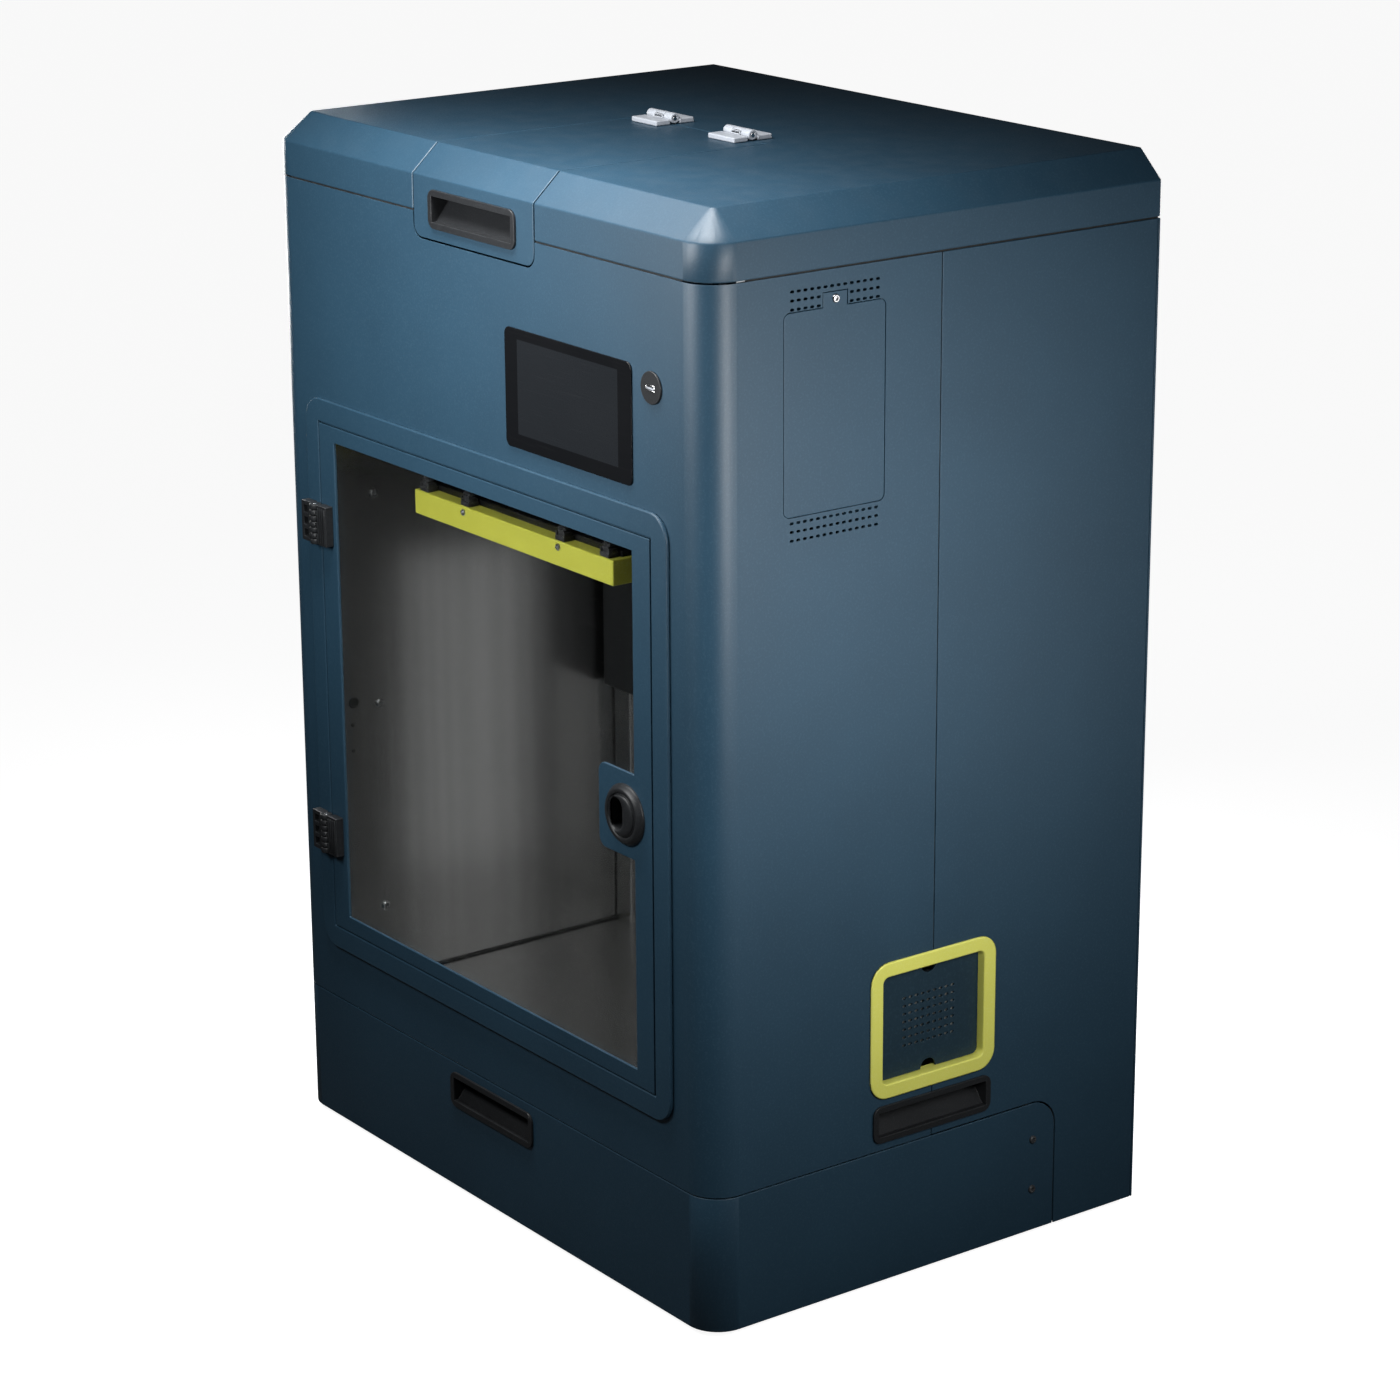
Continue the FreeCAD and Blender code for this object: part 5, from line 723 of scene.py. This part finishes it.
def make_control_board():
    """Bracket, laminate and the parts soldered on it."""
    bracket, board, parts, plugs = bmesh.new(), bmesh.new(), bmesh.new(), bmesh.new()
    face, under = 319.6, 319.4      # of the laminate, and just under its face, where the parts start
    pitch = 19.0
    add_bar(bracket, (308.0, -161.0, 744.0), (310.0, -61.0, 919.0), 0.4)
    add_bar(bracket, (283.0, -161.0, 744.0), (308.4, -61.0, 746.0), 0.4)
    add_bar(board, (318.0, -161.0, 769.0), (face, -61.0, 919.0), 0.25)
    for y in (-155.0, -67.0):
        for z in (775.0, 913.0):
            spin(bracket, [(0, 310.0), (3.0, 310.0), (3.0, 318.0), (0, 318.0)], (0, y, z), (1, 0, 0), 6)
    for y, z, wide, tall, high in ((-136, 820, 22, 22, 3.0), (-96, 830, 16, 16, 2.4), (-138, 868, 14, 9, 2.0),
                                   (-112, 868, 14, 9, 2.0), (-86, 868, 14, 9, 2.0), (-96, 795, 12, 20, 4.0)):
        add_bar(parts, (under, y, z), (face + high, y + wide, z + tall), 0.4)
    for step in range(5):
        spin(parts, [(0, under), (4.2, under), (4.2, 329.5), (3.8, 330.4), (0, 330.4)],
             (0, -150.0 + pitch * step, 790.0), (1, 0, 0), 20)
        add_bar(plugs, (under, -156.0 + pitch * step, 896.0), (329.0, -143.0 + pitch * step, 907.0), 0.6)
    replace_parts(finished_piece("board_laminate", board, "board_green", "cabinet"), "control_board")
    finished_piece("board_bracket", bracket, "zinc_steel", "cabinet")
    finished_piece("board_parts", parts, "black_plastic", "cabinet")
    finished_piece("board_plugs", plugs, "pale_plastic", "cabinet")


def make_chamber_corner_shade():
    """Dark strips along the foot and the rear corners of the chamber walls: painted shade where the walls meet the
    floor and each other.
    """
    mesh = bmesh.new()
    top = CHAMBER_FOOT + 2.2
    for way in (1, -1):
        left, right = sorted((way * 282.8, way * CHAMBER_SIDE))
        add_bar(mesh, (left, -244.0, CHAMBER_FOOT), (right, 129.0, top), 0.7)
        add_bar(mesh, (left, 127.4, CHAMBER_FOOT), (right, CHAMBER_BACK, 740.5), 0.6)
    add_bar(mesh, (-CHAMBER_SIDE, 127.2, CHAMBER_FOOT), (CHAMBER_SIDE, CHAMBER_BACK, top), 0.7)
    finished_piece("chamber_corner_shade", mesh, "rubber_black", "cabinet")


finish_built_pieces()
make_screws()
make_latch_ring()
make_hinge_ribs()
make_socket_shell()
make_knob_lip()
make_seam_shade_strips()
make_wall_port()
make_clamps()
make_lead_thread()
make_hot_ends()
make_head_fan()
make_filter_pack()
make_control_board()
make_chamber_corner_shade()


# Floor, light and camera

FLOOR_REACH = 40.0
FLOOR_GLOW = 0.93           # of the floor as the camera sees it
WORLD_SEEN, WORLD_DIM = 0.95, 0.018     # background strength to the camera, and to the object

# Place and aim in metres, size in metres, watts, beam in degrees
SOFTBOXES = {
    "front_softbox": ((0.02, -0.88, 0.97), (0.08, -0.25, 0.88), (0.5, 0.3), 4.9, 140.0),
    "side_softbox": ((0.97, -0.2, 0.76), (0.35, -0.12, 0.68), (0.3, 0.4), 3.0, 125.0),
    "rear_right_softbox": ((1.3, 0.5, 0.5), (0.35, -0.1, 0.85), (0.6, 0.6), 1.4, 130.0),
    "top_softbox": ((0.12, -0.36, 1.4), (0.1, -0.29, 1.0), (0.7, 0.2), 4.8, 115.0),
    "left_softbox": ((-1.15, 0.05, 0.85), (-0.35, 0.0, 0.6), (0.5, 0.5), 7.0, 130.0),
    "back_softbox": ((0.0, 1.2, 0.85), (0.0, 0.26, 0.6), (0.5, 0.5), 7.0, 130.0),
    "chamber_lamp": ((-0.05, 0.08, 0.3), (-0.285, 0.02, 0.28), (0.16, 0.42), 0.05, 180.0),
}


def seen_straight(tree):
    """Mask of what the camera sees directly or through glass, as against light that bounced off the object."""
    path = place(tree, "LightPath").outputs
    through = times(tree, path["Is Transmission Ray"], spread(tree, path["Diffuse Depth"], 1.0, 0.0))
    through = times(tree, through, spread(tree, path["Glossy Depth"], 1.0, 0.0))
    return place(tree, "Math", {0: path["Is Camera Ray"], 1: through}, operation="MAXIMUM").outputs[0]


def make_floor():
    """Pale floor that stays bright to the camera, while the object sees it only as the lamps light it."""
    data = bpy.data.meshes.new("floor")
    corners = [(x * FLOOR_REACH, y * FLOOR_REACH, 0) for x, y in ((-1, -1), (1, -1), (1, 1), (-1, 1))]
    data.from_pydata(corners, [], [(0, 1, 2, 3)])
    floor = bpy.data.objects.new("floor", data)
    bpy.context.scene.collection.objects.link(floor)
    material, tree, shader = new_finish("Pale floor")
    cloud = lay(tree, SOFT_CLOUD, Scale=1.5)["Cloud"]
    tree.links.new(blend_tone(tree, cloud, (0.6, 0.6, 0.6), (0.64, 0.64, 0.64)), shader.inputs["Base Color"])
    shader.inputs["Roughness"].default_value = 0.8
    glow = place(tree, "Emission", {"Color": WHITE, "Strength": FLOOR_GLOW})
    both = place(tree, "AddShader", {0: shader.outputs[0], 1: glow.outputs[0]})
    dim = place(tree, "BsdfDiffuse", {"Color": (0.05, 0.05, 0.05, 1.0)})
    mixed = place(tree, "MixShader", {0: seen_straight(tree), 1: dim.outputs[0], 2: both.outputs[0]})
    tree.links.new(mixed.outputs[0], tree.nodes["Material Output"].inputs["Surface"])
    data.materials.append(material)


def add_softbox(name, spot, target, size, watts, beam):
    """An area lamp that lights the object but isn't seen itself, also not through glass."""
    lamp = bpy.data.lights.new(name, "AREA")
    lamp.shape = "RECTANGLE"
    lamp.size, lamp.size_y = size
    lamp.energy = watts
    lamp.spread = math.radians(beam)
    item = bpy.data.objects.new(name, lamp)
    item.location = spot
    item.rotation_euler = (Vector(target) - Vector(spot)).to_track_quat("-Z", "Y").to_euler()
    item.visible_camera = False
    item.visible_transmission = False
    bpy.context.scene.collection.objects.link(item)


def light_studio():
    """Dim surroundings, softboxes at the front, above and on each side, and a little light in the chamber."""
    world = bpy.data.worlds.new("Studio")
    world.use_nodes = True
    tree = world.node_tree
    strength = spread(tree, seen_straight(tree), 0.0, 1.0, WORLD_DIM, WORLD_SEEN)
    tree.nodes["Background"].inputs["Color"].default_value = WHITE
    tree.links.new(strength, tree.nodes["Background"].inputs["Strength"])
    bpy.context.scene.world = world
    bpy.context.scene.view_settings.view_transform = "Standard"
    for name, setting in SOFTBOXES.items():
        add_softbox(name, *setting)


def aim_camera():
    """Stand where the photograph was taken from."""
    place_m = (2.968, -2.1892, 1.6351)
    focal_pixels, image_pixels, sensor_mm = 4000.0, 1400.0, 36.0
    yaw, pitch, roll = math.radians(53.56), math.radians(17.48), math.radians(-0.32)
    ahead = Vector((-math.sin(yaw) * math.cos(pitch), math.cos(yaw) * math.cos(pitch), -math.sin(pitch)))
    right = Vector((math.cos(yaw), math.sin(yaw), 0.0))
    up = right.cross(ahead)
    right, up = (math.cos(roll) * right + math.sin(roll) * up,
                 math.cos(roll) * up - math.sin(roll) * right)
    lens = bpy.data.cameras.new("camera")
    lens.sensor_fit = "HORIZONTAL"
    lens.sensor_width = sensor_mm
    lens.lens = focal_pixels / image_pixels * sensor_mm
    lens.clip_end = 200.0
    camera = bpy.data.objects.new("camera", lens)
    turn = Matrix((right, up, -ahead)).transposed().to_4x4()
    camera.matrix_world = Matrix.Translation(place_m) @ turn
    bpy.context.scene.collection.objects.link(camera)
    bpy.context.scene.camera = camera


make_floor()
light_studio()
aim_camera()
